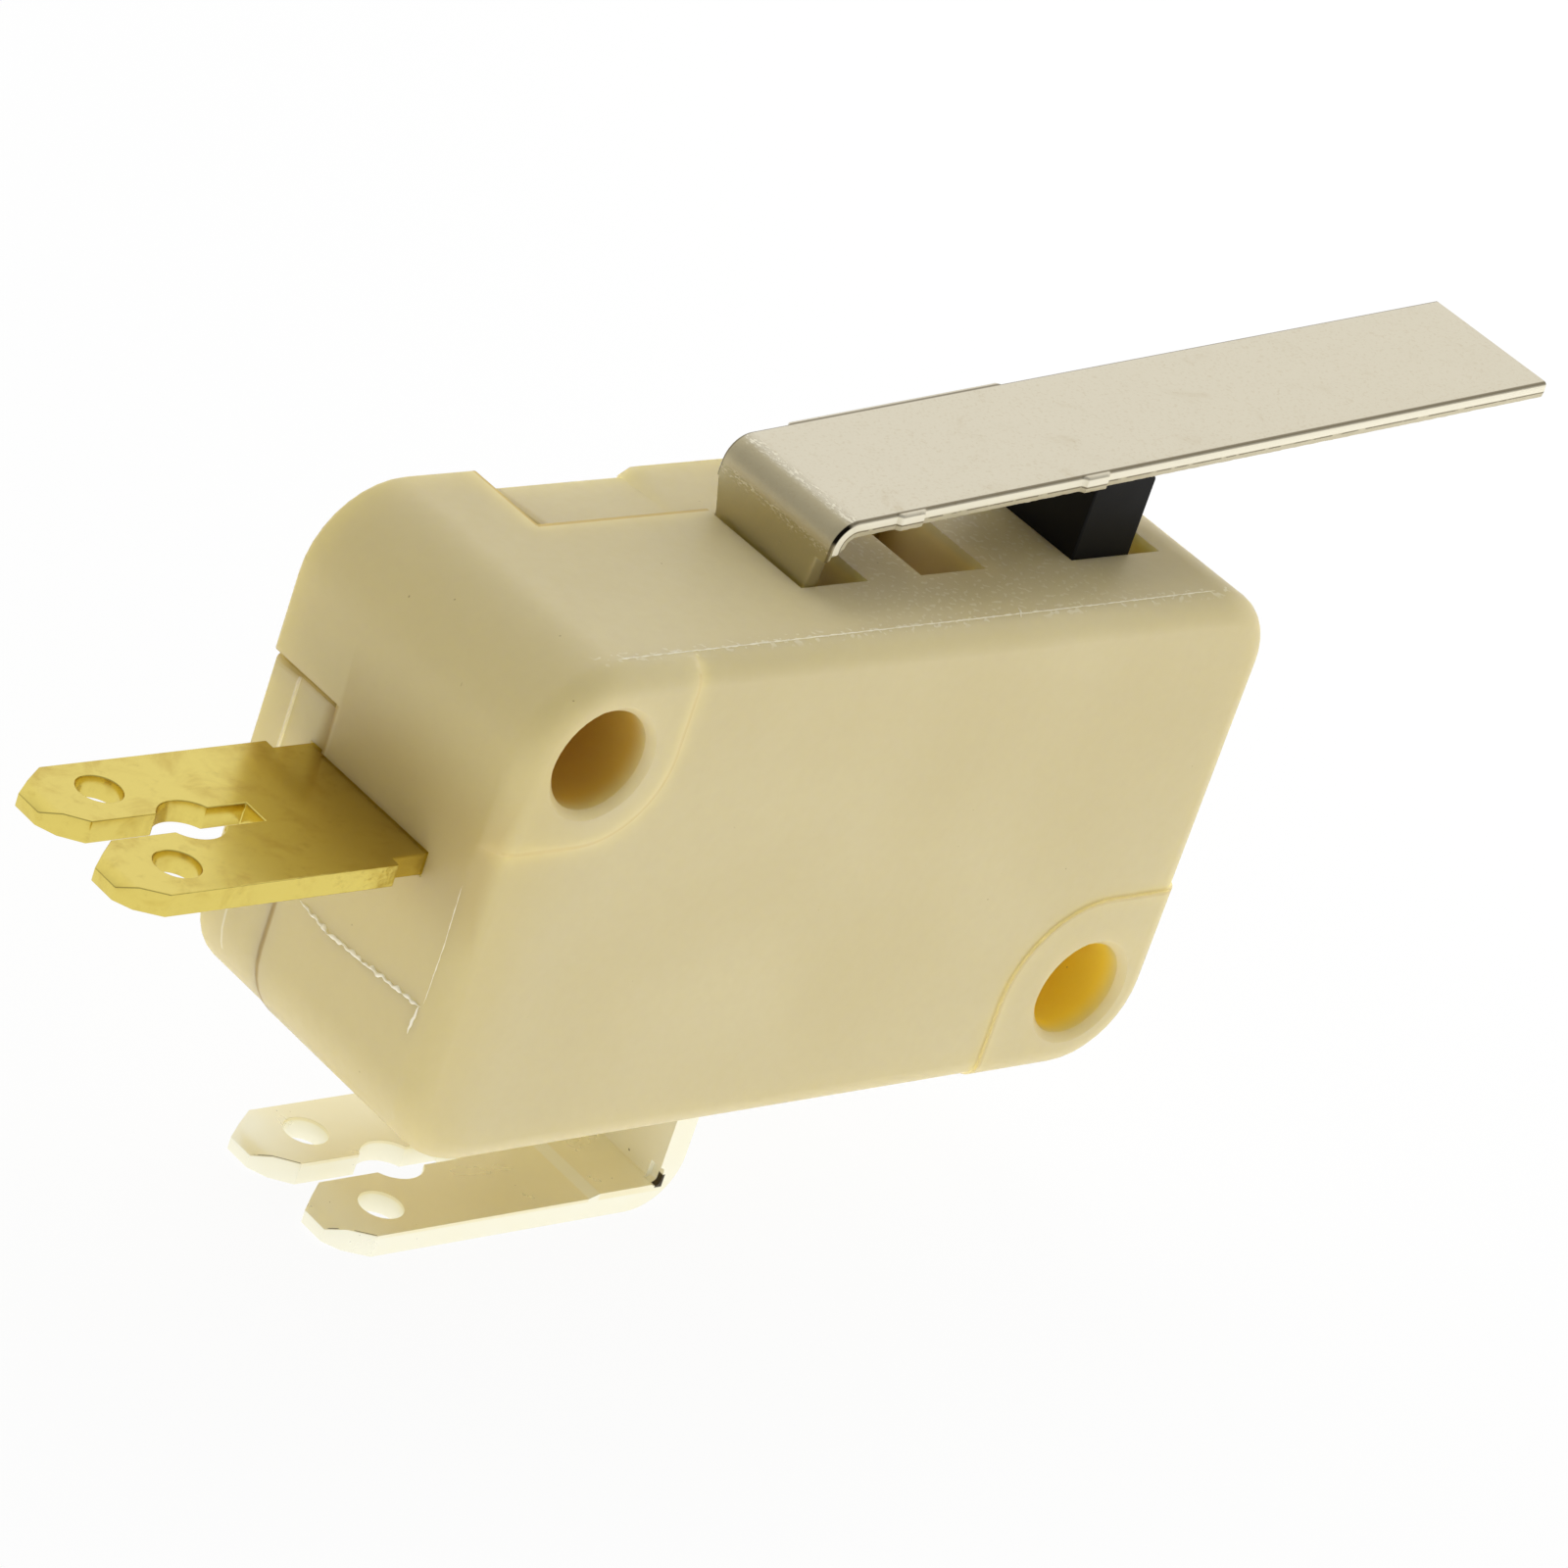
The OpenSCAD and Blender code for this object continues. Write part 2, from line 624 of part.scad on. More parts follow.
// Contact rivet through a sheet, its crowned head on the upper side
module contact_rivet(sheet_t) {
    crown = contact_h / 3;
    ball_r = (contact_r * contact_r + crown * crown) / (2 * crown);
    rotate_extrude() {
        intersection() {
            square([contact_r, contact_h]);
            translate([0, contact_h - ball_r]) circle(ball_r);
        }
        translate([0, -sheet_t]) square([shank_r, sheet_t + contact_h / 2]);
        translate([0, -sheet_t - upset_h]) square([upset_r, upset_h]);
    }
}

module fixed_contact() {
    color(silver) translate([contact_x, 0, end_tab_low]) rotate([180, 0, 0]) contact_rivet(tab_t);
}

module moving_contact() {
    color(silver) translate([contact_x, 0, arm_z + arm_t / 2]) contact_rivet(arm_t);
}

// Side view of the common terminal: tab, slope, thick neck, bend and leg up to z1
module common_profile(z1) {
    low = common_top - tab_t;
    neck_x = common_x - common_neck_l;
    neck_top = common_top + common_extra;
    bend_at = [common_x - common_bend_r, low + common_bend_r];
    difference() {
        polygon([[common_tip_x, low], [common_x, low], [common_x, z1], [common_left, z1],
                 [common_left, neck_top], [neck_x, neck_top], [neck_x - common_ramp_l, common_top],
                 [common_tip_x, common_top]]);
        difference() {
            translate([bend_at[0], low - over]) square(common_bend_r + over);
            translate(bend_at) circle(common_bend_r);
        }
    }
}

// Side view of a relief notch inside the common terminal's bend
module relief() {
    translate([common_left, common_top + common_extra - relief_low]) {
        translate([0, relief_d]) circle(relief_d);
        translate([0, relief_h - relief_d]) circle(relief_d);
        translate([-relief_d, relief_d]) square([2 * relief_d, relief_h - 2 * relief_d]);
    }
}

module common_terminal() {
    ear_z = z_floor + fit;
    ear_y = min(tab_w / 2 + ear_out, y_back - front_wall - fit);
    color(tinned) {
        difference() {
            intersection() {
                translate([common_tip_x, 0, -far]) linear_extrude(2 * far) forked_tab(common_tab_l);
                along_y(-far, far) common_profile(ear_z + ear_l);
            }
            translate([common_tip_x, 0, common_top - tab_t]) lead_ins();
            for (edge = [-tab_w / 2, tab_w / 2]) along_y(edge - relief_in, edge + relief_in) relief();
        }
        translate([common_left, -ear_y, ear_z]) cube([common_t, 2 * ear_y, ear_l]);
        for (side = [-1, 1]) uprights(side, ear_z);
    }
}

// One of the two uprights, with the notch that the contact arm rocks in
module uprights(side, z0) {
    w = (arm_w - window_w) / 2;
    y0 = side > 0 ? window_w / 2 : -arm_w / 2;
    along_y(y0, y0 + w) difference() {
        translate([common_left, z0]) square([common_t, upright_top - z0]);
        translate(arm_pivot)
            polygon([[0, -arm_edge_t], [0, arm_edge_t], [-notch_depth, notch_h / 2],
                     [-over, notch_h / 2], [-over, -notch_h / 2], [-notch_depth, -notch_h / 2]]);
    }
}

module contact_arm() {
    color(copper) difference() {
        intersection() {
            translate([arm_left, -arm_w / 2, arm_z - arm_t / 2]) cube([arm_tip_x - arm_left, arm_w, arm_t]);
            along_y(-far, far) translate([0, arm_z])
                polygon([[arm_left, -arm_t / 2], [arm_tip_x - arm_taper_l, -arm_t / 2],
                         [arm_tip_x, -arm_edge_t / 2], [arm_tip_x, arm_edge_t / 2],
                         [arm_tip_x - arm_taper_l, arm_t / 2], [arm_left, arm_t / 2]]);
        }
        translate([arm_pivot[0] - window_l, -window_w / 2, arm_z - over])
            cube([window_l + over, window_w, 2 * over]);
        translate([hook_a[0], 0, arm_z - over]) cylinder(d = hook_hole_d, h = 2 * over);
        translate([contact_x, 0, arm_z - over]) cylinder(r = shank_r + rivet_fit, h = 2 * over);
    }
}

module trip_lever() {
    color(steel) translate([trip[0], 0, trip[1]]) rotate([0, trip_angle, 0]) difference() {
        union() {
            translate([-trip_l, -trip_w / 2, -trip_t / 2]) cube([trip_l, trip_w, trip_t]);
            bar_y([0, 0], trip_bead_r, -trip_bead_w / 2, trip_bead_w / 2);
        }
        translate([-trip_hole, 0, -over]) cylinder(d = hook_hole_d, h = 2 * over);
    }
}

// Route of the spring wire: hook, leg, coil, leg, hook
function coil_r(i) = coil_d / 2 * min(1, 2 * i / turn_steps, 2 * (coil_steps - i) / turn_steps);
function coil_point(i) =
    hook_a + spring_u * (hook_leg + (spring_l - 2 * hook_leg) * i / coil_steps)
    + coil_r(i) * (cos(360 * i / turn_steps) * spring_v + sin(360 * i / turn_steps) * [0, 1, 0]);
wire_route = concat(
    [hook_a - [0, 0, hook_l], hook_a - [0, 0, hook_bend], hook_a + hook_bend * spring_u],
    [for (i = [0 : coil_steps]) coil_point(i)],
    [hook_b - hook_bend * spring_u, hook_b + hook_bend * trip_up, hook_b + hook_l * trip_up]);
wire_n = len(wire_route);
function wire_dir(i) = unit(wire_route[min(i + 1, wire_n - 1)] - wire_route[max(i - 1, 0)]);
// Each ring's first radius is the last ring's, turned as little as the route allows
function turned(side, dir) = unit(side - (side * dir) * dir);
wire_side = [for (i = 0, s = turned([1, 0, 0], wire_dir(0)); i < wire_n;
                  i = i + 1, s = i < wire_n ? turned(s, wire_dir(i)) : s) s];
function ring_point(i, k) =
    wire_route[i] + wire_d / 2 * (cos(360 * k / wire_sides) * wire_side[i]
                                  + sin(360 * k / wire_sides) * cross(wire_dir(i), wire_side[i]));

module coil_spring() {
    points = [for (i = [0 : wire_n - 1]) for (k = [0 : wire_sides - 1]) ring_point(i, k)];
    skin = [for (i = [0 : wire_n - 2]) for (k = [0 : wire_sides - 1]) let (n = (k + 1) % wire_sides)
            [i * wire_sides + k, (i + 1) * wire_sides + k, (i + 1) * wire_sides + n, i * wire_sides + n]];
    first = [[for (k = [0 : wire_sides - 1]) k]];
    last = [[for (k = [wire_sides - 1 : -1 : 0]) (wire_n - 1) * wire_sides + k]];
    color(steel) polyhedron(points, concat(skin, first, last));
}

housing();
cover();
plunger();
lever();
end_terminal();
fixed_contact();
common_terminal();
contact_arm();
moving_contact();
trip_lever();
coil_spring();
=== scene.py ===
# %% [markdown]
# # A snap-action micro switch, dressed for the camera
# The switch is already built as solids: a moulded housing and cover, a plunger, a long hinge lever, two
# forked terminals and the snap mechanism inside. This lesson gives each of them the surface that the
# real one has. We keep every size, round the edges as tools and dies leave them, and write each finish
# as a small network of nodes.

# %% Load the solids
import json
import math
from functools import reduce
import bmesh
import bpy
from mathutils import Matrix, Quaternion, Vector, noise


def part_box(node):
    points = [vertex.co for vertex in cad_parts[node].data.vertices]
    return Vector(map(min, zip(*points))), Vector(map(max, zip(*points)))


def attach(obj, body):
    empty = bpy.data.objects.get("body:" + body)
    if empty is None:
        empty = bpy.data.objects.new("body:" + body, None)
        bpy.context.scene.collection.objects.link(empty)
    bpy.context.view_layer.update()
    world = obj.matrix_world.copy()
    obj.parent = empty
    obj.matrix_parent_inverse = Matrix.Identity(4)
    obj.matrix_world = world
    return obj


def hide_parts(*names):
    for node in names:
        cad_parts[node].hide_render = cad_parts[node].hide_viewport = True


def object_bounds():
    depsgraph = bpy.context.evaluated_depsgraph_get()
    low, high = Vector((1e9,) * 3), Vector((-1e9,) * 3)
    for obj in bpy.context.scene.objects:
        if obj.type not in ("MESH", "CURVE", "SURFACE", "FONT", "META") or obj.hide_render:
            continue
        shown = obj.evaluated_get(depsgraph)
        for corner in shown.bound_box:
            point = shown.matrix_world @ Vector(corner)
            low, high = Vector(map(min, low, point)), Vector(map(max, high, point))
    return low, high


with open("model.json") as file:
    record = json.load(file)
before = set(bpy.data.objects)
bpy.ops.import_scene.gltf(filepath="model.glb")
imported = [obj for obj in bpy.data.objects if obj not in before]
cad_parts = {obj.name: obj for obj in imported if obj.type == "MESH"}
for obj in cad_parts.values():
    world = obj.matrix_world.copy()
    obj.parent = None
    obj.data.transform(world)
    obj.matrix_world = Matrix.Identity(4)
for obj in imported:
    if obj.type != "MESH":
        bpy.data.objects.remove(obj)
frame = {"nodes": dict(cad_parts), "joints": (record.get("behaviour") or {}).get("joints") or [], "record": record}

MM = 0.001
cad_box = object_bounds()

# %% [markdown]
# ## The camera
# The picture was taken from the front left, well above the switch, with a long lens held aslant. We place
# the camera by four plain facts: where it looks, its two angles, its distance, and how far it is rolled.
# A long focal length keeps the edges of the body almost parallel, as they are in the picture.

# %% Place the camera
look_at = Vector((-11.1, 0.0, 5.15)) * MM
azimuth = math.radians(-48.13)
elevation = math.radians(26.67)
roll = math.radians(19.22)
distance = 207.69 * MM
slide_right = 1.25 * MM
focal_mm, sensor_mm = 169.08, 36.0
near_m, far_m = 0.01, 10.0


def add_object(name, data):
    """A new object in the scene that shows the given data."""
    made = bpy.data.objects.new(name, data)
    bpy.context.scene.collection.objects.link(made)
    return made


back = Vector((math.sin(azimuth) * math.cos(elevation),
               -math.cos(azimuth) * math.cos(elevation),
               math.sin(elevation)))
turn = (-back).to_track_quat("-Z", "Y") @ Quaternion((0, 0, 1), roll)
camera = add_object("camera", bpy.data.cameras.new("camera"))
camera.rotation_mode = "QUATERNION"
camera.rotation_quaternion = turn
camera.location = look_at + back * distance + turn @ Vector((slide_right, 0, 0))
camera.data.lens = focal_mm
camera.data.sensor_width = sensor_mm
camera.data.clip_start = near_m
camera.data.clip_end = far_m
bpy.context.scene.camera = camera
print("camera at", [round(v / MM, 1) for v in camera.location], "mm")

# %% [markdown]
# ## Shader maths as plain expressions
# A node tree is easier to read as a formula than as a list of links. The class below wraps one socket.
# Adding, taking away or multiplying two of them adds the Math node that does it, and `node` adds any
# other node: its settings come first, because they decide which sockets it has, and then its values.

# %% A socket that can be used in a formula
class Wire:
    def __init__(self, tree, socket):
        self.tree = tree
        self.socket = socket

    def node(self, kind, settings=None, sockets=None, out=0):
        """Add a node, set it up, fill or link its sockets, and return one of its outputs."""
        made = self.tree.nodes.new(kind)
        for name, value in (settings or {}).items():
            setattr(made, name, value)
        for name, value in (sockets or {}).items():
            usable = [s for s in made.inputs if s.enabled]
            target = usable[name] if isinstance(name, int) else next(s for s in usable if s.name == name)
            if isinstance(value, Wire):
                self.tree.links.new(value.socket, target)
            else:
                target.default_value = value
        results = [s for s in made.outputs if s.enabled]
        chosen = results[out] if isinstance(out, int) else next(s for s in results if s.name == out)
        return Wire(self.tree, chosen)

    def math(self, operation, *values):
        return self.node("ShaderNodeMath", {"operation": operation}, dict(enumerate(values)))

    def __add__(self, other):
        return self.math("ADD", self, other)

    def __radd__(self, other):
        return self.math("ADD", other, self)

    def __sub__(self, other):
        return self.math("SUBTRACT", self, other)

    def __rsub__(self, other):
        return self.math("SUBTRACT", other, self)

    def __mul__(self, other):
        return self.math("MULTIPLY", self, other)

    def __rmul__(self, other):
        return self.math("MULTIPLY", other, self)

    def __truediv__(self, other):
        return self.math("DIVIDE", self, other)

    def __rtruediv__(self, other):
        return self.math("DIVIDE", other, self)

    def __abs__(self):
        return self.math("ABSOLUTE", self)


print("formula class ready:", Wire.__name__)

# %% [markdown]
# ## Masks, noise and colours
# A finish is mostly a question of where: where it is worn, where it is amber, where a speck lies. Painting
# that by hand would need an image. We write it as masks, numbers from 0 to 1 worked out from the place on
# the switch. `step` is a soft switch between two values, `span` is 1 between two of them, `grain` is noise
# of a given size in millimetres, and `blend` mixes two colours with a Mix node.

# %% Masks
def step(value, low, high):
    """A smooth 0 to 1 as value goes from low to high (or from high to low when low is the larger)."""
    return value.node("ShaderNodeMapRange", {"interpolation_type": "SMOOTHSTEP"},
                      {"Value": value, "From Min": low, "From Max": high})


def both(first, second):
    return first.math("MINIMUM", first, second)


def either(first, second):
    return first.math("MAXIMUM", first, second)


def span(value, low, high, soft):
    """1 between low and high, with soft ends."""
    return both(step(value, low - soft, low + soft), step(value, high + soft, high - soft))


print("masks ready:", [mask.__name__ for mask in (step, both, either, span)])

# %% Noise and colours
SPECK_SOFT = 0.03


def grain(place, size_mm, detail=2.0, rough=0.5, warp=0.0):
    """Noise whose blobs are about size_mm across, between 0 and 1."""
    return place.node("ShaderNodeTexNoise", {}, {"Vector": place, "Scale": 1.0 / size_mm, "Detail": detail,
                                                 "Roughness": rough, "Distortion": warp}, out=0)


def stretched(place, along):
    """The same place, squeezed so that noise draws out along the longer axes of `along`."""
    return place.node("ShaderNodeVectorMath", {"operation": "DIVIDE"}, {0: place, 1: along})


def specks(place, size_mm, level):
    """Scattered specks: the peaks of a fine noise, fewer and smaller as level goes up."""
    return step(grain(place, size_mm, detail=0.0), level, level + SPECK_SOFT)


def blend(amount, first, second):
    """Mix two colours; a plain tuple stands for a fixed colour."""
    return amount.node("ShaderNodeMix", {"data_type": "RGBA"}, {"Factor": amount, "A": first, "B": second})


def tone(red, green, blue):
    """A colour written as it looks on screen (0 to 255), turned into the linear values of a shader."""
    linear = [c / 12.92 if c <= 0.04045 else ((c + 0.055) / 1.055) ** 2.4
              for c in (red / 255, green / 255, blue / 255)]
    return (*linear, 1.0)


print("middle grey of the screen in linear light:", round(tone(128, 128, 128)[0], 3))

# %% [markdown]
# ## A new material
# Every finish starts the same way: an empty material, its Principled shader, and the place on the switch in
# millimetres, so that a scratch has the same size on every piece. What varies is linked to the shader, and
# what is the same all over is set on its own socket, which keeps the network small.

# %% Materials
def new_material(name):
    """An empty material: returns it, its Principled shader, and the place on the switch in millimetres."""
    made = bpy.data.materials.new(name)
    made.use_nodes = True
    tree = made.node_tree
    shader = tree.nodes["Principled BSDF"]
    start = Wire(tree, None)
    own = start.node("ShaderNodeTexCoord", out="Object")
    place = start.node("ShaderNodeVectorMath", {"operation": "SCALE"}, {"Vector": own, "Scale": 1 / MM})
    return made, shader, place


def axes(place):
    """The x, y and z of a place as three numbers."""
    return [place.node("ShaderNodeSeparateXYZ", {}, {"Vector": place}, out=i) for i in range(3)]


def wire_up(shader, links, **constants):
    """Link what varies and set what is the same all over."""
    for name, value in links.items():
        value.tree.links.new(value.socket, shader.inputs[name])
    for name, value in constants.items():
        shader.inputs[name.replace("_", " ")].default_value = value


def bump(height, depth_mm, strength=1.0, below=None):
    """A relief of the given depth, on top of another one where `below` is given."""
    sockets = {"Height": height, "Distance": depth_mm * MM, "Strength": strength}
    if below is not None:
        sockets["Normal"] = below
    return height.node("ShaderNodeBump", {}, sockets)


print("helpers ready:", [helper.__name__ for helper in (new_material, axes, wire_up, bump)])

# %% [markdown]
# ## White surround
# The switch was shot in a light tent: bright cloth on every side, so that nothing has a hard shadow and the
# ground is as white as the walls. More light would give that white too, but it would wash out the switch.
# So only the eye sees the surround as pure white. Metal mirrors the cloth as it is, brighter at the right
# rear, and the light that falls on the switch stays at a plain level.

# %% Surround
AMBIENT = 0.85
TENT_BRIGHT = Vector((0.75, 0.65, 0.0))
TENT_DIM = 0.45
TENT_SPREAD = (-0.3, 0.7)
WHITE = (1, 1, 1, 1)


def seen_directly(start):
    """1 for rays that show the surround to the eye, in a mirror or through glass."""
    path = [start.node("ShaderNodeLightPath", out=name)
            for name in ("Is Camera Ray", "Is Glossy Ray", "Is Transmission Ray")]
    return reduce(either, path)


world = bpy.data.worlds.new("light_tent")
world.use_nodes = True
bpy.context.scene.world = world
sky = Wire(world.node_tree, None)
way = sky.node("ShaderNodeTexCoord", out="Generated")
facing = sky.node("ShaderNodeVectorMath", {"operation": "DOT_PRODUCT"},
                  {0: way, 1: TENT_BRIGHT.normalized()}, out="Value")
cloth = TENT_DIM + (1 - TENT_DIM) * step(facing, *TENT_SPREAD)
eye = sky.node("ShaderNodeLightPath", out="Is Camera Ray")
plain = sky.node("ShaderNodeBackground", {}, {"Color": WHITE, "Strength": cloth * AMBIENT})
white = sky.node("ShaderNodeBackground", {}, {"Color": WHITE, "Strength": either(eye, cloth)})
tent = sky.node("ShaderNodeMixShader", {}, {0: seen_directly(sky), 1: plain, 2: white})
world.node_tree.links.new(tent.socket, world.node_tree.nodes["World Output"].inputs["Surface"])
print("surround:", world.name)

# %% [markdown]
# ## Pale floor
# The floor is a sheet of white paper that ends far outside the picture. It is white in the same way as the
# surround, apart from a small share of its true shading, which is enough to keep the soft shadow under the
# switch. It lights the switch from below a little more than paper would, as the lit cloth of a tent does.

# %% Floor
FLOOR_HALF = 1.5
FLOOR_CELLS = 8
FLOOR_SHADOW = 0.07
FLOOR_LIGHT = 1.25
PAPER, PAPER_PALE = (0.90, 0.90, 0.89, 1), (0.94, 0.94, 0.93, 1)

floor_z = cad_box[0][2]
bm = bmesh.new()
bmesh.ops.create_grid(bm, x_segments=FLOOR_CELLS, y_segments=FLOOR_CELLS, size=FLOOR_HALF)
floor_mesh = bpy.data.meshes.new("floor")
bm.to_mesh(floor_mesh)
bm.free()
floor = add_object("floor", floor_mesh)
floor.location = (look_at.x, look_at.y, floor_z)

floor_mat, floor_shader, floor_place = new_material("floor_paper")
fibre = grain(floor_place, 0.8, detail=4.0)
wire_up(floor_shader, {"Base Color": blend(fibre, PAPER, PAPER_PALE)}, Roughness=0.9, Specular_IOR_Level=0.1)
bounce = floor_place.node("ShaderNodeLightPath", out="Is Diffuse Ray")
glow = floor_place.node("ShaderNodeEmission", {},
                        {"Color": WHITE, "Strength": 1 + (FLOOR_LIGHT - 1) * bounce})
lit = Wire(floor_mat.node_tree, floor_shader.outputs[0])
unshaded = either(seen_directly(floor_place) * (1 - FLOOR_SHADOW), bounce)
paper = floor_place.node("ShaderNodeMixShader", {}, {0: unshaded, 1: lit, 2: glow})
floor_mat.node_tree.links.new(paper.socket, floor_mat.node_tree.nodes["Material Output"].inputs["Surface"])
floor_mesh.materials.append(floor_mat)
print("floor at", round(floor_z / MM, 2), "mm")

# %% [markdown]
# ## Four soft lamps
# A lamp's power says little by itself. We write instead how bright a white card would be that faces the lamp
# at the switch, and work the watts out from that and the distance. The lamps are hidden from reflections,
# so the metal mirrors the cloth and not four discs.

# %% Lamps by the level they give
LAMPS = {"front_cloth": ((0.30, -1.0, 0.0), 350, 300, 0.33),
         "left_cloth": ((-1.0, 0.35, -0.05), 350, 240, 0.20),
         "top_cloth": ((0.15, 0.7, 1.0), 350, 240, 0.26),
         "right_cloth": ((1.0, 0.12, 0.30), 130, 110, 0.50)}


def soft_lamp(name, toward, away_mm, size_mm, level):
    """A round cloth of light that gives a white card at the switch the stated level."""
    lamp = bpy.data.lights.new(name, "AREA")
    lamp.shape = "DISK"
    lamp.size = size_mm * MM
    lamp.energy = level * (math.pi * away_mm * MM) ** 2
    holder = add_object(name, lamp)
    direction = Vector(toward).normalized()
    holder.location = look_at + direction * away_mm * MM
    holder.rotation_mode = "QUATERNION"
    holder.rotation_quaternion = direction.to_track_quat("Z", "Y")
    holder.visible_glossy = False
    return holder


lamps = [soft_lamp(name, *facts) for name, facts in LAMPS.items()]
print("lamps:", [lamp.name for lamp in lamps])

# %% [markdown]
# ## Where amber glow is painted on the case
# The case is a pale glass-filled thermoplastic, and it is not quite opaque: thin edges, the slots and the walls of
# the holes glow amber where light comes through from behind. Scattering alone gives part of that glow. The rest is
# painted glow, tinted by place, with masks that take their sizes from the case itself.

# %% Measures of the case
holes = [mount for mount in frame["record"]["mounts"] if mount["kind"] == "bore"]
case_low, case_high = [corner / MM for corner in map(Vector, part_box("housing"))]
SEAM_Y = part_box("cover")[0][1] / MM
END_TAB_Z = 5.95
BOSS_R = 2.4
PAD_R = (3.2, 2.65)
PANEL_X, PANEL_Y, PANEL_LOW, PANEL_TOP = -24.70, 3.95, 4.2, 7.7
BOSS_WAYS = (-1, 1)
upper_hole = holes[1]
print("holes:", [hole["name"] for hole in holes], "seam at", round(SEAM_Y, 2), "mm")

# %% Walls of the holes and hollows
CAVITY_HALF, SLOT_HALF = 3.8, 2.15
CAVITY_LEFT, CAVITY_RIGHT, CAVITY_FLOOR, CAVITY_ROOF = 1.6, 0.9, 1.0, 1.1
SLOT_MOUTH = 0.25
SLOTS_FROM = (-16.0, -15.0)


def bore_wall(x, y, z, hole):
    """1 on the wall of one mounting hole, fading out at its mouths."""
    across, up = x - hole["pos_m"][0] / MM, z - hole["pos_m"][2] / MM
    from_axis = x.math("SQRT", across * across + up * up)
    wall = step(from_axis, hole["dims"]["r_mm"] + 0.14, hole["dims"]["r_mm"] + 0.02)
    return both(wall, step(abs(y), case_high.y - 0.05, case_high.y - 0.9))


def hollow_walls(x, y, z):
    """1 on the walls of the slots and the hollow inside the case."""
    floor_up, soft = case_low.z + CAVITY_FLOOR, 0.15
    length = span(x, case_low.x + CAVITY_LEFT, case_high.x - CAVITY_RIGHT, 0.2)
    inside = both(span(z, floor_up, case_high.z - CAVITY_ROOF, soft),
                  step(abs(y), CAVITY_HALF + 0.2, CAVITY_HALF - 0.2))
    in_slots = both(span(z, floor_up, case_high.z - SLOT_MOUTH, soft),
                    step(abs(y), SLOT_HALF + 0.03, SLOT_HALF - 0.03))
    in_slots = both(in_slots, step(x, *SLOTS_FROM))
    return both(length, either(inside, in_slots))


print("inner walls begin", CAVITY_LEFT, "mm from the left end")

# %% [markdown]
# ## Pads, panel and seams
# The small lines tell that the case is two mouldings: the low step round each pad, the groove where the cover
# meets the housing, and the amber gaps beside the bosses. They are a tenth of a millimetre wide. The solids hold
# the steps, so the finish paints their shade and glow into the colour, with a painted highlight on the panel's
# step, and it finds them by their distance from the round bosses.

# %% Lines on the case
def past_boss(x, z, hole, way, radius=BOSS_R):
    """Millimetres from a corner boss; way is 1 when the rest of the case lies right of it and below."""
    across = either((x - hole["pos_m"][0] / MM) * way, 0.0)
    down = either((hole["pos_m"][2] / MM - z) * way, 0.0)
    return x.math("SQRT", across * across + down * down) - radius


def pad_rim_shade(x, y, z):
    """1 on the low step round the raised pad of each hole, on the front face, where painted shade darkens it."""
    rims = [step(abs(past_boss(x, z, hole, way, radius)), 0.13, 0.05)
            for hole, way, radius in zip(holes, BOSS_WAYS, PAD_R)]
    return both(reduce(either, rims), step(y, case_low.y + 0.2, case_low.y + 0.12))


def panel_rim_highlight(x, y, z):
    """1 on the low step round the panel, painted as a highlight where it catches the light."""
    rim = both(span(y, PANEL_Y - 0.03, PANEL_Y + 0.05, 0.02), step(x, case_low.x + 0.35, case_low.x + 0.3))
    return both(rim, step(z, PANEL_TOP, PANEL_TOP - 0.05))


def rear_edge_shade(x, y, z):
    """1 along the edge of the housing's top that stands above the cover, and of the upper boss there, where a line
    of painted shade lies.
    """
    past = past_boss(x, z, upper_hole, 1)
    along = span(y, SEAM_Y - 0.12, SEAM_Y + 0.05, 0.03)
    beside = both(step(abs(past), 0.12, 0.05), step(y, SEAM_Y - 0.1, SEAM_Y))
    line = either(both(along, step(past, -0.1, 0.0)), beside)
    return both(line, step(z, case_high.z - 0.16, case_high.z - 0.08))


print("pads of", PAD_R, "mm round bosses of", BOSS_R, "mm")

# %% Seams
def seam_shade_bands(x, y, z):
    """1 on the cover beside the bosses and in the corner of its end panel, where amber shade is painted in the
    gaps.
    """
    beyond = [past_boss(x, z, hole, way) for hole, way in zip(holes, BOSS_WAYS)]
    bands = reduce(either, [both(step(past, 0.36, 0.12), step(past, -0.04, 0.0)) for past in beyond])
    corner = both(span(z, PANEL_LOW, PANEL_TOP, 0.03), step(y, SEAM_Y + 0.62, SEAM_Y + 0.12))
    corner = both(corner, step(x, case_low.x + 0.5, case_low.x + 0.4))
    return both(step(y, SEAM_Y - 0.04, SEAM_Y), either(bands * 0.8, corner))


def seam_groove_shade(x, y, z):
    """1 in the fine groove where the two mouldings meet, painted dark as its shade; it stops at the bosses."""
    clear = reduce(both, [step(past_boss(x, z, hole, way), -0.02, 0.03) for hole, way in zip(holes, BOSS_WAYS)])
    groove = both(clear, step(abs(y - SEAM_Y), 0.16, 0.05))
    return both(groove, step(z, case_high.z - 0.2, case_high.z - 0.35))


print("seam masks ready:", seam_shade_bands.__name__, seam_groove_shade.__name__)

# %% [markdown]
# ## Cream moulded plastic
# Under the lines lies a cream that is a little cloudy, with painted shade that deepens it at the left end, a few
# specks from the melt, painted glints on the eroded top and a fine tool texture. Subsurface scattering with a path
# of about a millimetre makes it look like plastic and not like paint. The Burley method is the quickest of the
# three that Blender has, and on walls as thick as these it looks as good as the others.

# %% Colours of the case
CREAM, CREAM_PALE, CREAM_DEEP = tone(210, 195, 147), tone(215, 201, 155), tone(200, 182, 128)
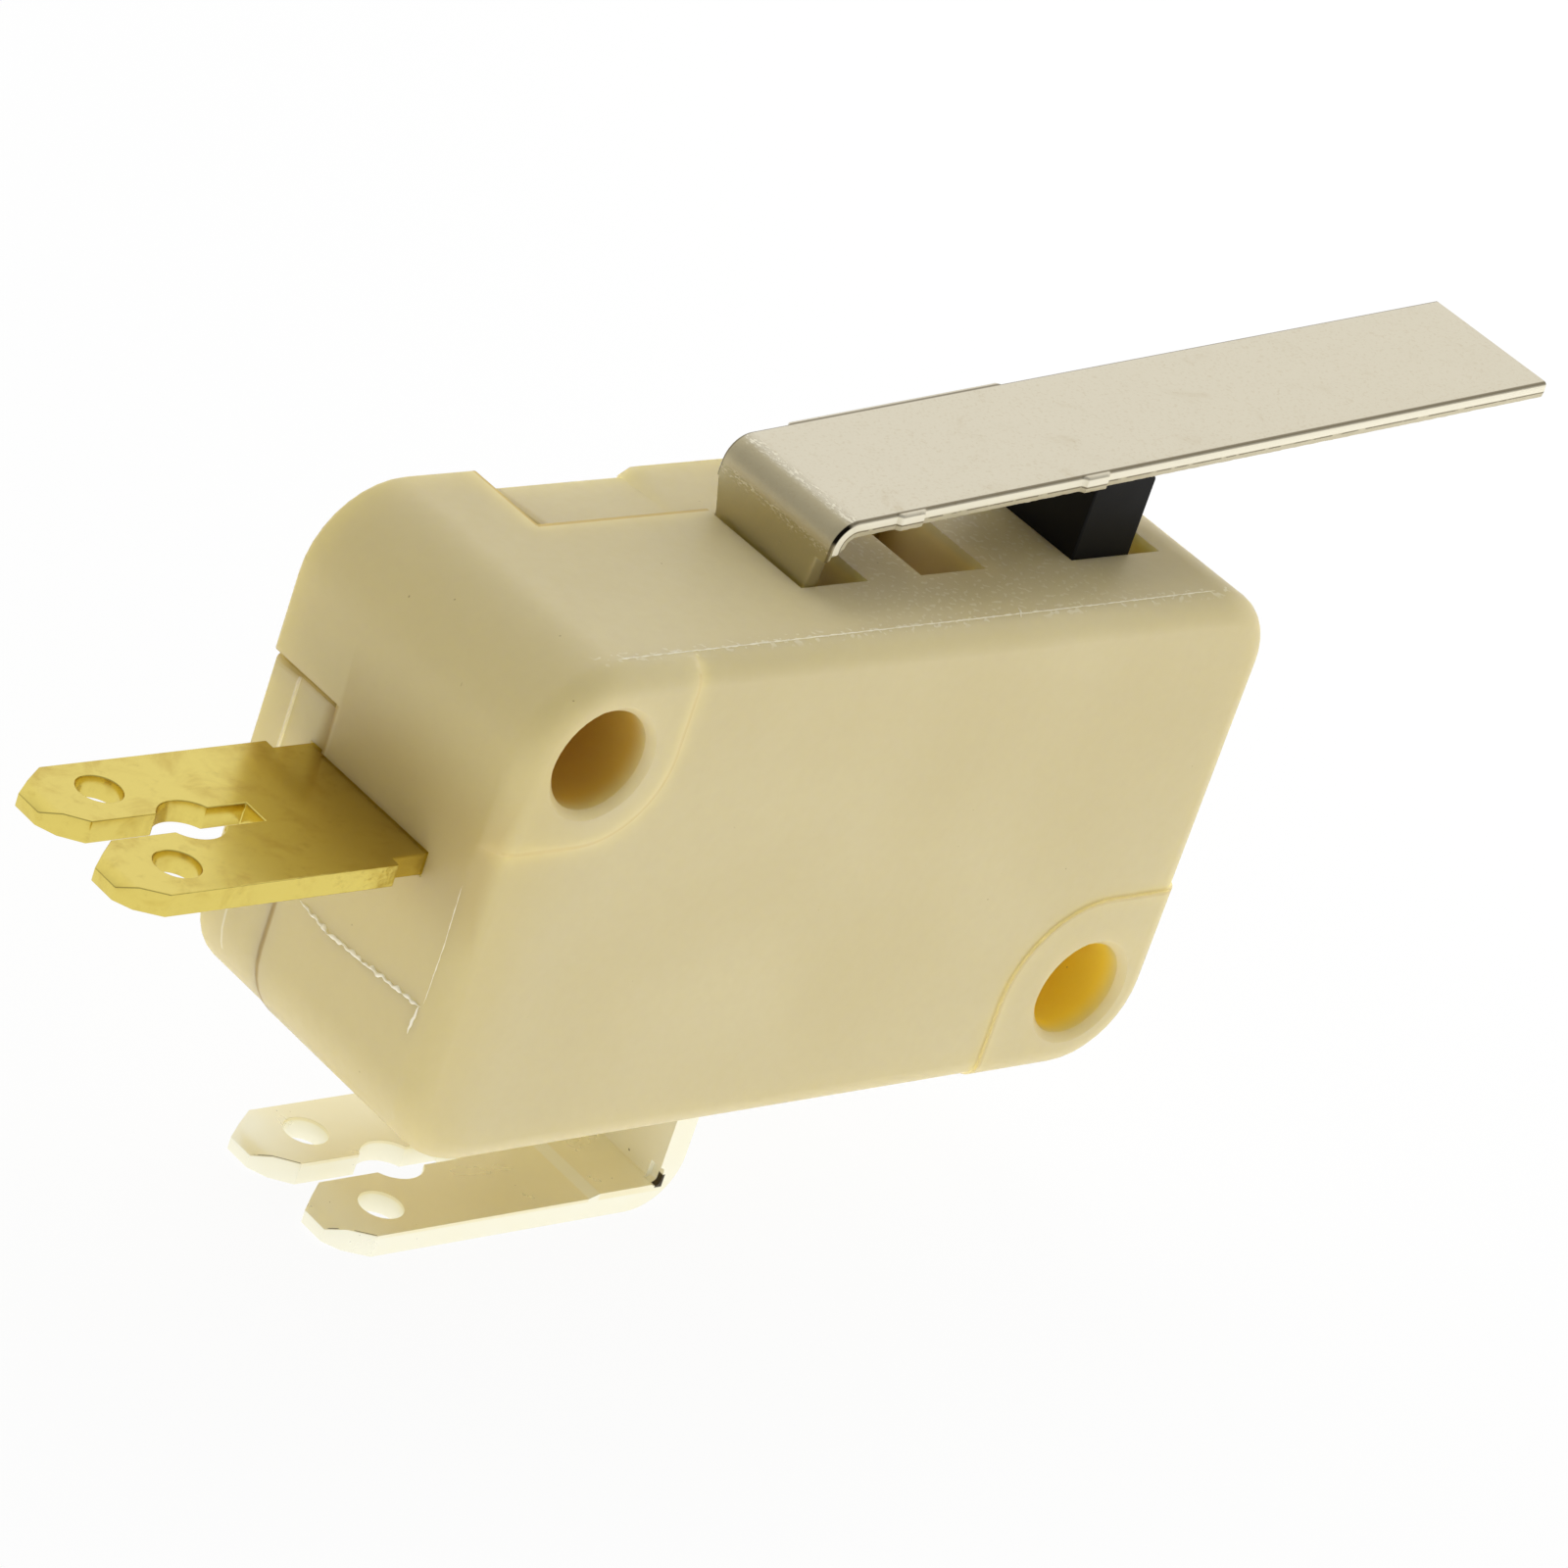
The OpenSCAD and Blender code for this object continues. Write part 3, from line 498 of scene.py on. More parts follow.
# painted shade colours: the deeper left end, and the shaded spots round the end terminal and on the pad steps
CREAM_END_SHADE, CREAM_SHADE = tone(211, 194, 137), tone(190, 166, 106)
PAINTED_WALL_GLOW, PAINTED_BORE_GLOWS = tone(234, 211, 150), (tone(255, 226, 90), tone(216, 180, 84))
# painted shade: amber in the gaps and along the rear edge, dark in the seam's groove
AMBER_SHADE, SEAM_SHADE = tone(188, 160, 82), tone(182, 152, 78)
# the second colour is a painted highlight, for glints and for the lit step round the panel
MELT_SPECK, PAINTED_GLINT = tone(140, 116, 74), tone(240, 233, 210)


def cream_glow_and_shade(place, x, y, z, fine):
    """Cream with soft clouds, painted shade at the left end, and painted amber glow on the inner walls and in the
    mounting holes.
    """
    colour = blend(step(grain(place, 7.0, detail=1.0), 0.3, 0.7), CREAM, CREAM_PALE)
    # painted shade: the cream deepens towards the left end, which lies in shade
    colour = blend(step(x, case_low.x + 3.5, case_low.x + 0.5) * 0.85, colour, CREAM_END_SHADE)
    colour = blend(fine * 0.2, colour, CREAM_DEEP)
    # painted glow: the walls of the slots and the hollow are lit amber as if light came through them
    colour = blend(hollow_walls(x, y, z) * 0.8, colour, PAINTED_WALL_GLOW)
    # painted glow in each mounting hole, with a tint of its own for each hole
    for hole, painted_tint in zip(holes, PAINTED_BORE_GLOWS):
        colour = blend(bore_wall(x, y, z, hole), colour, painted_tint)
    return colour


def painted_lines(colour, x, y, z):
    """Painted shade round the end terminal, on the pad steps, along the rear edge and in the seams, and a painted
    highlight on the panel's step.
    """
    # painted shade: the end face round the end terminal is darkened as if shaded by it
    tab_shade = both(step(abs(z - END_TAB_Z - 1.0), 3.2, 0.6), step(x, case_low.x + 0.6, case_low.x + 0.1))
    colour = blend(both(tab_shade, step(y, SEAM_Y, SEAM_Y - 0.3)) * 0.6, colour, CREAM_SHADE)
    for mask, share, painted_tint in ((pad_rim_shade, 0.4, CREAM_SHADE), (rear_edge_shade, 0.85, AMBER_SHADE),
                              (seam_shade_bands, 0.9, AMBER_SHADE), (panel_rim_highlight, 0.5, PAINTED_GLINT),
                              (seam_groove_shade, 0.9, SEAM_SHADE)):
        colour = blend(mask(x, y, z) * share, colour, painted_tint)
    return colour


print("cream in linear light:", [round(c, 2) for c in CREAM[:3]])

# %% The finish of the case
# the eroded zone and the front rim of the top: a rougher skin, with painted glints on it
GLINT_AND_TEXTURE_X, GLINT_AND_TEXTURE_Y = (-12.0, -3.0), (-4.62, -4.2)
SCATTER_RADIUS, SCATTER_MM = (0.85, 0.80, 0.26), 1.5


def cream_plastic(name):
    made, shader, place = new_material(name)
    x, y, z = axes(place)
    fine = grain(place, 0.35, detail=1.0)
    colour = painted_lines(cream_glow_and_shade(place, x, y, z, fine), x, y, z)
    colour = blend(specks(place, 0.17, 0.89) * 0.6, colour, MELT_SPECK)
    on_top = step(z, case_high.z - 0.1, case_high.z - 0.02)
    eroded, rim = both(on_top, span(x, *GLINT_AND_TEXTURE_X, 2.5)), both(on_top, span(y, *GLINT_AND_TEXTURE_Y, 0.12))
    # painted glints: bright specks in the colour on the eroded top and along its front rim
    painted_glints = specks(place, 0.16, 0.64) * either(eroded * 0.5, rim * 0.7)
    colour = blend(painted_glints * 0.7, colour, PAINTED_GLINT)
    skin = bump(grain(place, 0.10, detail=1.0), 0.004, 0.3 + either(eroded, rim) * 0.7)
    shader.subsurface_method = "BURLEY"
    wire_up(shader, {"Base Color": colour, "Roughness": 0.36 + fine * 0.14, "Normal": skin},
            Subsurface_Weight=1.0, Subsurface_Radius=SCATTER_RADIUS, Subsurface_Scale=SCATTER_MM * MM,
            IOR=1.5, Specular_IOR_Level=0.45)
    return made


case_finish = cream_plastic("cream_plastic")
print("finish:", case_finish.name, "nodes:", len(case_finish.node_tree.nodes))

# %% [markdown]
# ## Black plunger plastic
# The plunger is moulded in a black plastic that slides well. Pure black would show as a hole in the picture,
# so it gets a very dark grey that varies a little, and a satin roughness that catches the cloth of the
# tent on its front. There is no scattering: light doesn't get into black plastic.

# %% The finish of the plunger
SOOT, SOOT_PALE = tone(3, 3, 3), tone(9, 8, 8)


def black_plastic(name):
    made, shader, place = new_material(name)
    cloud = grain(place, 1.2, detail=4.0)
    skin = bump(grain(place, 0.08), 0.004, 0.4)
    wire_up(shader, {"Base Color": blend(cloud, SOOT, SOOT_PALE), "Roughness": 0.42 + cloud * 0.15,
                     "Normal": skin}, Specular_IOR_Level=0.2)
    return made


plunger_finish = black_plastic("black_plastic")
print("finish:", plunger_finish.name)

# %% [markdown]
# ## Nickel plate, and where it is marked
# The lever is steel strip with a satin nickel plate. Its look depends on the place along the strip: the bend is
# stretched and dull, the bending tool has torn bright dashes on it, and the stamped edges show a rolled corner
# with painted shade on it, a bright land and a torn band. So we first work out, for any spot, how deep it lies
# below the outer face and how far round the bend it is.

# %% Where on the strip
BEND_AT = Vector((-12.53, 14.45))
BEND_R = 0.9
STRIP_HALF = 2.5
ARM_RISE = math.radians(5.5)
LAND_T = 0.33
GALL_LINES = ((math.radians(70), 0.30, 0.9), (math.radians(-6), 0.20, 0.40))


def strip_depth(x, z):
    """Millimetres below the outer face of the strip, on the arm and round the bend."""
    right, up = x - BEND_AT.x, z - BEND_AT.y
    along = either(right * math.cos(ARM_RISE) + up * math.sin(ARM_RISE), 0.0)
    return BEND_R - x.math("SQRT", either(right * right + up * up - along * along, 0.0))


def bend_turn(x, z):
    """The angle round the bend: 0 at the foot, a quarter turn at the arm."""
    return x.math("ARCTAN2", z - BEND_AT.y, BEND_AT.x - x)


def gall_marks(place, turn, on_bend):
    """Torn bright dashes along the two lines where the bending tool dragged."""
    lines = []
    for angle, wide, share in GALL_LINES:
        wander = (grain(place, 0.5) - 0.5) * 0.25
        lines.append(step(abs(turn + wander - angle), wide, 0.02) * share)
    torn = step(grain(stretched(place, (1.0, 3.0, 1.0)), 0.06, detail=2.0), 0.50, 0.62)
    return both(reduce(either, lines), on_bend) * torn


print("bend at", [round(v, 2) for v in BEND_AT], "mm with a radius of", BEND_R, "mm")

# %% Colours of the lever
NICKEL, NICKEL_STAIN, SHEARED = tone(219, 211, 189), tone(190, 172, 136), tone(250, 243, 220)
NICKEL_DRAWN, NICKEL_FOOT = tone(198, 187, 154), tone(178, 168, 132)
# painted shade colours for the rolled corner, the crease and the line between land and torn band; the third is the
# torn band's own tone
EDGE_SHADE, EDGE_BLACK_SHADE, TORN = tone(112, 100, 74), tone(26, 22, 16), tone(206, 196, 166)
TOUCHED_X = (-11.0, -4.0)


def stained_nickel(place, x, z, mottle, pits):
    """Nickel with stains where it is handled, duller round the bend and darker down the foot."""
    stain = step(mottle, 0.56, 0.86) * (0.35 + span(x, *TOUCHED_X, 3.0) * 0.4) + pits * 0.22
    colour = blend(stain, NICKEL, NICKEL_STAIN)
    colour = blend(step(x, BEND_AT.x - 0.3, BEND_AT.x - 0.55), colour, NICKEL_DRAWN)
    colour = blend(step(z, BEND_AT.y + 0.05, BEND_AT.y - 0.05), colour, NICKEL_FOOT)
    fleck = step(grain(place, 0.11, detail=2.0), 0.52, 0.74)
    return blend(fleck * 0.25, colour, NICKEL_STAIN)


def stamped_edges(colour, place, y, depth, turn, edge):
    """Painted shade on the rolled corner and in the crease at the bend, the torn band, the bright land, and a line
    of painted shade between them.
    """
    on_top = step(depth, 0.11, 0.06)
    # painted shade on the rolled-over corner
    rolled_over_shade = both(span(abs(y), STRIP_HALF - 0.10, STRIP_HALF - 0.015, 0.02), on_top)
    colour = blend(rolled_over_shade * 0.8, colour, EDGE_SHADE)
    # painted black shade in the crease at the bend
    crease_shade = both(span(y, -STRIP_HALF - 0.02, -STRIP_HALF + 0.10, 0.02), span(turn, 0.25, 1.05, 0.1))
    colour = blend(both(crease_shade, on_top), colour, EDGE_BLACK_SHADE)
    colour = blend(edge, colour, TORN)
    colour = blend(edge * span(depth, 0.08, LAND_T - 0.03, 0.02), colour, SHEARED)
    # painted shade in the fine step between the land and the torn band
    crack_shade = span(depth, LAND_T - 0.02, LAND_T + 0.03, 0.015) * step(grain(place, 0.4), 0.35, 0.5)
    return blend(edge * crack_shade * 0.8, colour, EDGE_SHADE)


print("nickel in linear light:", [round(c, 2) for c in NICKEL[:3]])

# %% The finish of the lever
GALL_LOW = (13.9, 14.0)


def nickel_plate(name):
    made, shader, place = new_material(name)
    x, y, z = axes(place)
    mottle = grain(place, 1.3, detail=5.0, rough=0.65, warp=0.5)
    pits = step(grain(place, 0.16, detail=3.0), 0.62, 0.78)
    depth, turn = strip_depth(x, z), bend_turn(x, z)
    left_of_bend = step(x, BEND_AT.x + 0.05, BEND_AT.x - 0.25)
    drawn = both(left_of_bend, step(z, BEND_AT.y - 0.1, BEND_AT.y + 0.05))
    galled = gall_marks(place, turn, both(left_of_bend, step(z, *GALL_LOW)))
    edge = both(step(abs(y), STRIP_HALF - 0.12, STRIP_HALF - 0.08), step(depth, 0.06, 0.10))
    colour = blend(galled, stained_nickel(place, x, z, mottle, pits), SHEARED)
    colour = stamped_edges(colour, place, y, depth, turn, edge)
    skin = bump(grain(stretched(place, (6.0, 0.5, 1.0)), 0.25, detail=3.0), 0.003, 0.4)
    skin = bump(pits, -0.006, 0.5, skin)
    skin = bump(grain(place, 0.14), 0.008, drawn * 0.5, skin)
    skin = bump(galled, 0.012, 0.7, skin)
    wire_up(shader, {"Base Color": colour, "Normal": skin, "Metallic": 1.0 - edge * 0.7,
                     "Roughness": 0.26 + mottle * 0.10 + edge * 0.1 + drawn * 0.14})
    return made


lever_finish = nickel_plate("nickel_plate")
print("finish:", lever_finish.name, "nodes:", len(lever_finish.node_tree.nodes))

# %% [markdown]
# ## Bare brass
# The end terminal is stamped from rolled brass and left bare, so it has stains, dull patches and the fine lines of
# the rolling mill. Those lines are noise stretched along the strip, used as a very shallow bump. A second, wide
# bump makes the sheet a little wavy, and a third roughens its sheared sides, because a flat metal face mirrors one
# flat tone. Close to the case its top face is darker, a painted reflection of the case's shaded end.

# %% The finish of the end terminal
BRASS, BRASS_STAIN = tone(224, 204, 108), tone(204, 178, 84)
BRASS_SPOT, BRASS_DULL_AND_SHADE = tone(128, 104, 44), tone(170, 142, 58)
CASE_SHADE_X, CASE_SHADE_Z = (-29.0, -25.3), (6.2, 6.28)
TAB_SIDES = (3.07, 3.13)


def bare_brass(name):
    made, shader, place = new_material(name)
    x, y, z = axes(place)
    stain = grain(place, 1.2, detail=4.0, rough=0.6, warp=0.5)
    colour = blend(step(stain, 0.45, 0.8), BRASS, BRASS_STAIN)
    colour = blend(specks(place, 0.26, 0.86) * 0.5, colour, BRASS_SPOT)
    # painted shade: the top face near the case is darkened where it mirrors the shaded end of the case; random
    # dull patches are added to it
    mirrored_case_shade = both(step(x, *CASE_SHADE_X), step(z, *CASE_SHADE_Z))
    dull_and_shade = mirrored_case_shade * 0.35 + step(grain(place, 0.5, detail=4.0, rough=0.7), 0.55, 0.75) * 0.25
    colour = blend(dull_and_shade, colour, BRASS_DULL_AND_SHADE)
    skin = bump(grain(stretched(place, (5.0, 0.5, 1.0)), 0.3, detail=3.0), 0.003, 0.4)
    skin = bump(grain(place, 1.8), 0.02, 0.3, skin)
    sheared = step(abs(y), *TAB_SIDES)
    skin = bump(grain(stretched(place, (1.6, 1.0, 1.0)), 0.28, detail=2.0), 0.04, sheared * 0.8, skin)
    wire_up(shader, {"Base Color": colour, "Roughness": 0.17 + stain * 0.12, "Normal": skin}, Metallic=1.0)
    return made


brass_finish = bare_brass("bare_brass")
print("finish:", brass_finish.name)

# %% [markdown]
# ## Tin plate
# The common terminal is brass under a pale coat of tin. Tin is softer and milkier than a polished metal, so its
# Metallic lies halfway. Its upper face has a painted gold reflection of the case's amber underside, left paler on
# the ramp as a painted highlight, and a fine dark line of painted shade follows the top edge of the slanting cut
# at each tip.

# %% Painted shade at the tips
COMMON_TIP, COMMON_TOP, RAMP_X, LEG_X = -23.78, -6.38, -14.48, -12.40
RAMP_L = 0.38
TIP_CUTS = ((-2.30, 1.2, 0.85), (1.35, 1.1, 0.90))


def tip_edge_shade(x, y, z):
    """1 in the fine dark line of painted shade along the top of the slanting cut on the front side of each prong.
    """
    lines = []
    for start, along, across in TIP_CUTS:
        inward = ((x - COMMON_TIP) * across + (y - start) * along) / math.hypot(along, across)
        line = both(span(inward, 0.03, 0.06, 0.02), step(x, COMMON_TIP + along + 0.05, COMMON_TIP + along))
        lines.append(both(line, span(y, start - across, start, 0.1)))
    return both(reduce(either, lines), step(z, COMMON_TOP - 0.25, COMMON_TOP - 0.2))


print("cuts at the tips:", len(TIP_CUTS))

# %% The finish of the common terminal
TIN, TIN_WARM, TIN_CASE_REFLECTION = tone(255, 253, 234), tone(254, 249, 220), tone(246, 232, 176)
TIN_SPECK, TIN_EDGE_SHADE, TIN_SHADE = tone(120, 104, 66), tone(40, 34, 20), tone(64, 54, 34)
RELIEF_Y = (-2.94, -2.98)


def tin_plate(name):
    made, shader, place = new_material(name)
    x, y, z = axes(place)
    cloud = grain(place, 1.4, detail=3.0)
    colour = blend(cloud, TIN, TIN_WARM)
    colour = blend(specks(place, 0.16, 0.87) * 0.8, colour, TIN_SPECK)
    # painted highlight: the ramp is kept pale, as it mirrors brighter surroundings
    ramp_highlight = span(x, RAMP_X - RAMP_L, RAMP_X, 0.04)
    upper_face = span(z, COMMON_TOP - 0.1, COMMON_TOP + 0.16, 0.03)
    # painted reflection: gold on the upper face, where it mirrors the case's amber underside
    case_reflection = both(span(x, COMMON_TIP + 1.5, RAMP_X + 2.0, 1.0), upper_face)
    colour = blend(case_reflection * (1 - ramp_highlight) * 0.5, colour, TIN_CASE_REFLECTION)
    # painted shade along the top edges of the tips' cuts, broken up by noise
    colour = blend(tip_edge_shade(x, y, z) * step(grain(place, 0.5), 0.42, 0.5), colour, TIN_EDGE_SHADE)
    # painted shade in the relief notch beside the leg
    relief_shade = both(span(x, LEG_X - 0.01, LEG_X + 0.25, 0.02), span(z, COMMON_TOP, COMMON_TOP + 0.42, 0.03))
    colour = blend(both(relief_shade, step(y, *RELIEF_Y)), colour, TIN_SHADE)
    skin = bump(grain(place, 0.3, detail=3.0), 0.003, 0.4)
    wire_up(shader, {"Base Color": colour, "Roughness": 0.24 + cloud * 0.10, "Normal": skin}, Metallic=0.45)
    return made


tin_finish = tin_plate("tin_plate")
print("finish:", tin_finish.name)

# %% [markdown]
# ## Metals of the mechanism
# Inside are silver contacts, a copper alloy arm and two pieces of spring steel. They are hidden while the
# case is closed, so one simple finish with two tones and a drawn grain serves for all three metals.

# %% The finishes inside
INNER_METALS = {"contact_silver": (tone(232, 230, 224), tone(205, 202, 194), 0.25),
                "copper_strip": (tone(214, 158, 112), tone(176, 116, 76), 0.28),
                "spring_wire": (tone(190, 190, 194), tone(150, 150, 154), 0.25)}


def plain_metal(name, light, dark, rough):
    made, shader, place = new_material(name)
    cloud = grain(place, 0.6, detail=3.0)
    skin = bump(grain(stretched(place, (4.0, 0.5, 1.0)), 0.2), 0.003, 0.4)
    wire_up(shader, {"Base Color": blend(cloud, light, dark), "Roughness": rough + cloud * 0.1,
                     "Normal": skin}, Metallic=1.0)
    return made


inner_finish = {name: plain_metal(name, *facts) for name, facts in INNER_METALS.items()}
print("finishes:", len(bpy.data.materials))

# %% [markdown]
# ## Softened edges
# No real edge is a line: a mould is polished round, a punch rolls the metal over. A Bevel modifier makes
# that, but the solids come as loose triangles, so we first copy a solid, weld it and melt its flat
# triangles together. Each sharp edge of the copy then gets a weight: how wide its rounding is.

# %% Weld a solid and weigh its edges
WELD = 1e-7
FLAT = math.radians(0.2)
SHARP = math.radians(30)


def welded_copy(node, name, width_mm, width_at, shift):
    """A mesh of a solid with flat faces in one piece; width_at gives each edge's rounding at its middle."""
    mesh = bpy.data.meshes.new(name)
    bm = bmesh.new()
    bm.from_mesh(frame["nodes"][node].data)
    bmesh.ops.remove_doubles(bm, verts=bm.verts, dist=WELD)
    bmesh.ops.dissolve_limit(bm, angle_limit=FLAT, verts=bm.verts, edges=bm.edges)
    for vert in bm.verts if shift else ():
        vert.co += shift(vert.co / MM) * MM
    weight = bm.edges.layers.float.new("bevel_weight_edge")
    for edge in bm.edges:
        if len(edge.link_faces) == 2 and edge.calc_face_angle(0) > SHARP:
            middle = (edge.verts[0].co + edge.verts[1].co) / 2 / MM
            share = 1.0 if width_at is None else width_at(middle) / width_mm
            edge[weight] = max(0.0, min(1.0, share))
            edge.smooth = share > 0
    for face in bm.faces:
        face.smooth = True
    bm.to_mesh(mesh)
    bm.free()
    for stale in [a for a in mesh.attributes if a.name == "custom_normal"]:
        mesh.attributes.remove(stale)
    return mesh


print("edges count as sharp over", round(math.degrees(SHARP)), "degrees")

# %% Round the edges of a copy
ROUND_STEPS = 3
FLAT_PULL = 80


def dressed(node, name, body, finish, width_mm, width_at=None, shift=None):
    """Copy a solid as a new piece that replaces it, with its sharp edges rounded."""
    piece = add_object(name, welded_copy(node, name, width_mm, width_at, shift))
    rounding = piece.modifiers.new("rounded_edges", "BEVEL")
    rounding.limit_method = "WEIGHT"
    rounding.width = width_mm * MM
    rounding.segments = ROUND_STEPS
    rounding.use_clamp_overlap = True
    rounding.loop_slide = False
    shading = piece.modifiers.new("flat_faces_flat", "WEIGHTED_NORMAL")
    shading.keep_sharp = True
    shading.weight = FLAT_PULL
    piece.data.materials.append(finish)
    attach(piece, body)
    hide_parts(node)
    return piece


def tally(piece):
    """Print how many faces a finished piece has."""
    ready = piece.evaluated_get(bpy.context.evaluated_depsgraph_get()).to_mesh()
    print(piece.name, "faces:", len(ready.polygons))


print("each rounding has", ROUND_STEPS, "steps")

# %% [markdown]
# ## The case
# The housing and the cover come out of two moulds. The housing's edges are nearly crisp, and those of the
# cover and of the bosses beside it are broken by a tenth of a millimetre, so that a fine line shows where
# they meet. One width for all would be simpler, but it would blunt the crisp front. Edges in the hollow
# inside are never seen and stay sharp.

# %% How far each edge is rounded
CRISP, SEAM_ROUND, PANEL_ROUND, COVER_ROUND = 0.06, 0.05, 0.03, 0.11
SKIN_T = 0.55


def on_skin(spot):
    """Whether a spot lies on the outside of the case."""
    return any(min(spot[i] - case_low[i], case_high[i] - spot[i]) < SKIN_T for i in range(3))


def at_end_tab(spot):
    """Whether a spot is on the rim of the end terminal's passage, which stays sharp."""
    return spot.x < case_low.x + 0.5 and abs(spot.z - END_TAB_Z) < 0.45 and abs(spot.y) < 3.0


def on_panel(spot, reach):
    """Whether a spot is on the panel in the cover's end or within reach of its rim."""
    return (spot.x < PANEL_X + 0.01 and SEAM_Y - reach < spot.y < PANEL_Y + reach
            and PANEL_LOW - reach < spot.z < PANEL_TOP + reach)


def housing_rounding(spot):
    if at_end_tab(spot) or not on_skin(spot):
        return 0.0
    if spot.y > SEAM_Y + 0.1:
        return COVER_ROUND
    return SEAM_ROUND if abs(spot.y - SEAM_Y) < 0.02 else CRISP


def cover_rounding(spot):
    if at_end_tab(spot) or not on_skin(spot):
        return 0.0
    if on_panel(spot, 0.02):
        return PANEL_ROUND
    return SEAM_ROUND if abs(spot.y - SEAM_Y) < 0.02 else COVER_ROUND


print("roundings:", CRISP, SEAM_ROUND, PANEL_ROUND, COVER_ROUND, "mm")

# %% [markdown]
# ## The cover's soft corner
# Beside the upper boss the real cover doesn't end in a neat corner: the mould leaves a small slope there,
# its rear edge lies lower, and the panel in its end is very shallow. These are tenths of a millimetre, so
# we slide the few corners of the copied mesh that matter, and leave the rest where the solid has it.

# %% Housing and cover
PANEL_OUT = 0.18
STEP_X, REAR_Y = -14.2, 4.6
SLOPE_X, SLOPE_L, SLOPE_Z = -19.0, 0.70, (12.2, 12.36)
REAR_FALL, REAR_Z = 0.20, (12.2, 12.6)
CORNER_X, CORNER_TOP, CORNER_FALL, CORNER_Z = -24.3, 8.0, 0.10, (7.4, 7.6)


def ease(value, low, high):
    """Rise from 0 to 1 between two values."""
    return max(0.0, min(1.0, (value - low) / (high - low)))


def cover_shift(spot):
    """Make the panel shallow, and let the cover fall off beside the upper boss."""
    if on_panel(spot, 0.01) and spot.x > PANEL_X - 0.01:
        return Vector((-PANEL_OUT, 0, 0))
    if spot.x < STEP_X and spot.z > SLOPE_Z[0]:
        slope = SLOPE_L * ease(spot.z, *SLOPE_Z) if spot.x < SLOPE_X else 0.0
        fall = REAR_FALL * ease(spot.z, *REAR_Z) if spot.y > REAR_Y else 0.0
        return Vector((slope, 0, -fall))
    if spot.x < CORNER_X and spot.y > REAR_Y and spot.z < CORNER_TOP:
        return Vector((0, 0, -CORNER_FALL * ease(spot.z, *CORNER_Z)))
    return Vector()


tally(dressed("housing", "housing_moulding", "case", case_finish,
              COVER_ROUND, housing_rounding))
tally(dressed("cover", "cover_moulding", "case", case_finish,
              COVER_ROUND, cover_rounding, cover_shift))

# %% [markdown]
# ## The plunger and the terminals
# The plunger is a small moulding and the two terminals are stampings. Their forms are all in the solids, with
# the forks, the wire holes and the bend, so each needs only its edges broken: a little more on the plastic,
# a little less on the metal, where a wider rounding would look cast.

# %% Plunger and terminals
PLUNGER_ROUND, TAB_ROUND = 0.08, 0.05
tally(dressed("plunger", "plunger_button", "plunger", plunger_finish, PLUNGER_ROUND))
tally(dressed("end_terminal", "end_tab", "case", brass_finish, TAB_ROUND))
tally(dressed("common_terminal", "common_tab", "case", tin_finish, TAB_ROUND))

# %% [markdown]
# ## The lever strip
# The lever is stamped from sheet and then bent. Look at a stamped edge and you see three bands: a rolled-over
# corner on the punch side, a bright sheared land, and a torn band with a burr where the sheet broke. A plain
# bevel has none of that, so we sweep a section of our own along the strip: down the arm, round the bend, into
# the foot and over its rolled bead. Noise along the way tears the lower band.

# %% Walk along the strip
STRIP_T = 0.5
ARM_L = 26.6
FOOT_LEAN = math.radians(3.0)
SHOULDER_Z = 14.05
BEAD_R = 0.45
ARC_L = BEND_R * (math.pi / 2 - ARM_RISE - FOOT_LEAN)
hinge = Vector(next(j for j in frame["joints"] if j["name"] == "lever_hinge")["pos_m"]).xz / MM


def outer_face(s):
    """Place, outward way and onward way in (x, z), at s millimetres from the tip along the outer face."""
    bent = min(max(s - ARM_L, 0.0), ARC_L) / BEND_R
    angle = math.pi / 2 + ARM_RISE + bent
    out = Vector((math.cos(angle), math.sin(angle)))
    on = Vector((-out.y, out.x))
    straight = min(s - ARM_L, 0.0) + max(s - ARM_L - ARC_L, 0.0)
    return BEND_AT + BEND_R * out + straight * on, out, on


foot_start, foot_out, foot_on = outer_face(ARM_L + ARC_L)
BEAD_S = ARM_L + ARC_L + (hinge - foot_start).dot(foot_on)
BEAD_OUT = (hinge - foot_start).dot(foot_out)
SHOULDER_S = ARM_L + ARC_L + (foot_start.y - SHOULDER_Z) / -foot_on.y
print("strip length:", round(BEAD_S + BEAD_R, 2), "mm")

# %% How wide the strip is
FOOT_HALF = 2.05
SHOULDER_SLANT, SHOULDER_SOFT = 0.45, 0.06
REAR_FLARE, FLARE_L = 0.38, 0.95
NUBS = ((1.35, 2.30), (8.20, 9.15))
NUB_OUT, NUB_SOFT = 0.12, 0.05
HAIR = 0.001


def half_width(s, side):
    """Half the strip's width: two nubs on its front edge, one long low step on its rear edge."""
    if s > SHOULDER_S:
        return FOOT_HALF + (REAR_FLARE * max(0.0, 1 - (s - SHOULDER_S) / FLARE_L) if side > 0 else 0.0)
    from_bend = ARM_L - s
    proud = NUBS if side < 0 else ((NUBS[0][0], NUBS[1][1]),)
    steps = [min(from_bend - a, b - from_bend) / NUB_SOFT for a, b in proud]
    return STRIP_HALF + NUB_OUT * max(0.0, min(1.0, max(steps)))


def shoulder_cut(s, depth, side):
    """The shoulder is cut aslant: its inner corner ends before its outer one."""
    past = s - (SHOULDER_S - SHOULDER_SLANT * depth / STRIP_T)
    drop = STRIP_HALF - half_width(SHOULDER_S + HAIR, side)
    return drop * max(0.0, min(1.0, past / SHOULDER_SOFT)) if s < SHOULDER_S else 0.0


print("width at the tip:", half_width(0.0, -1) + half_width(0.0, 1), "mm")

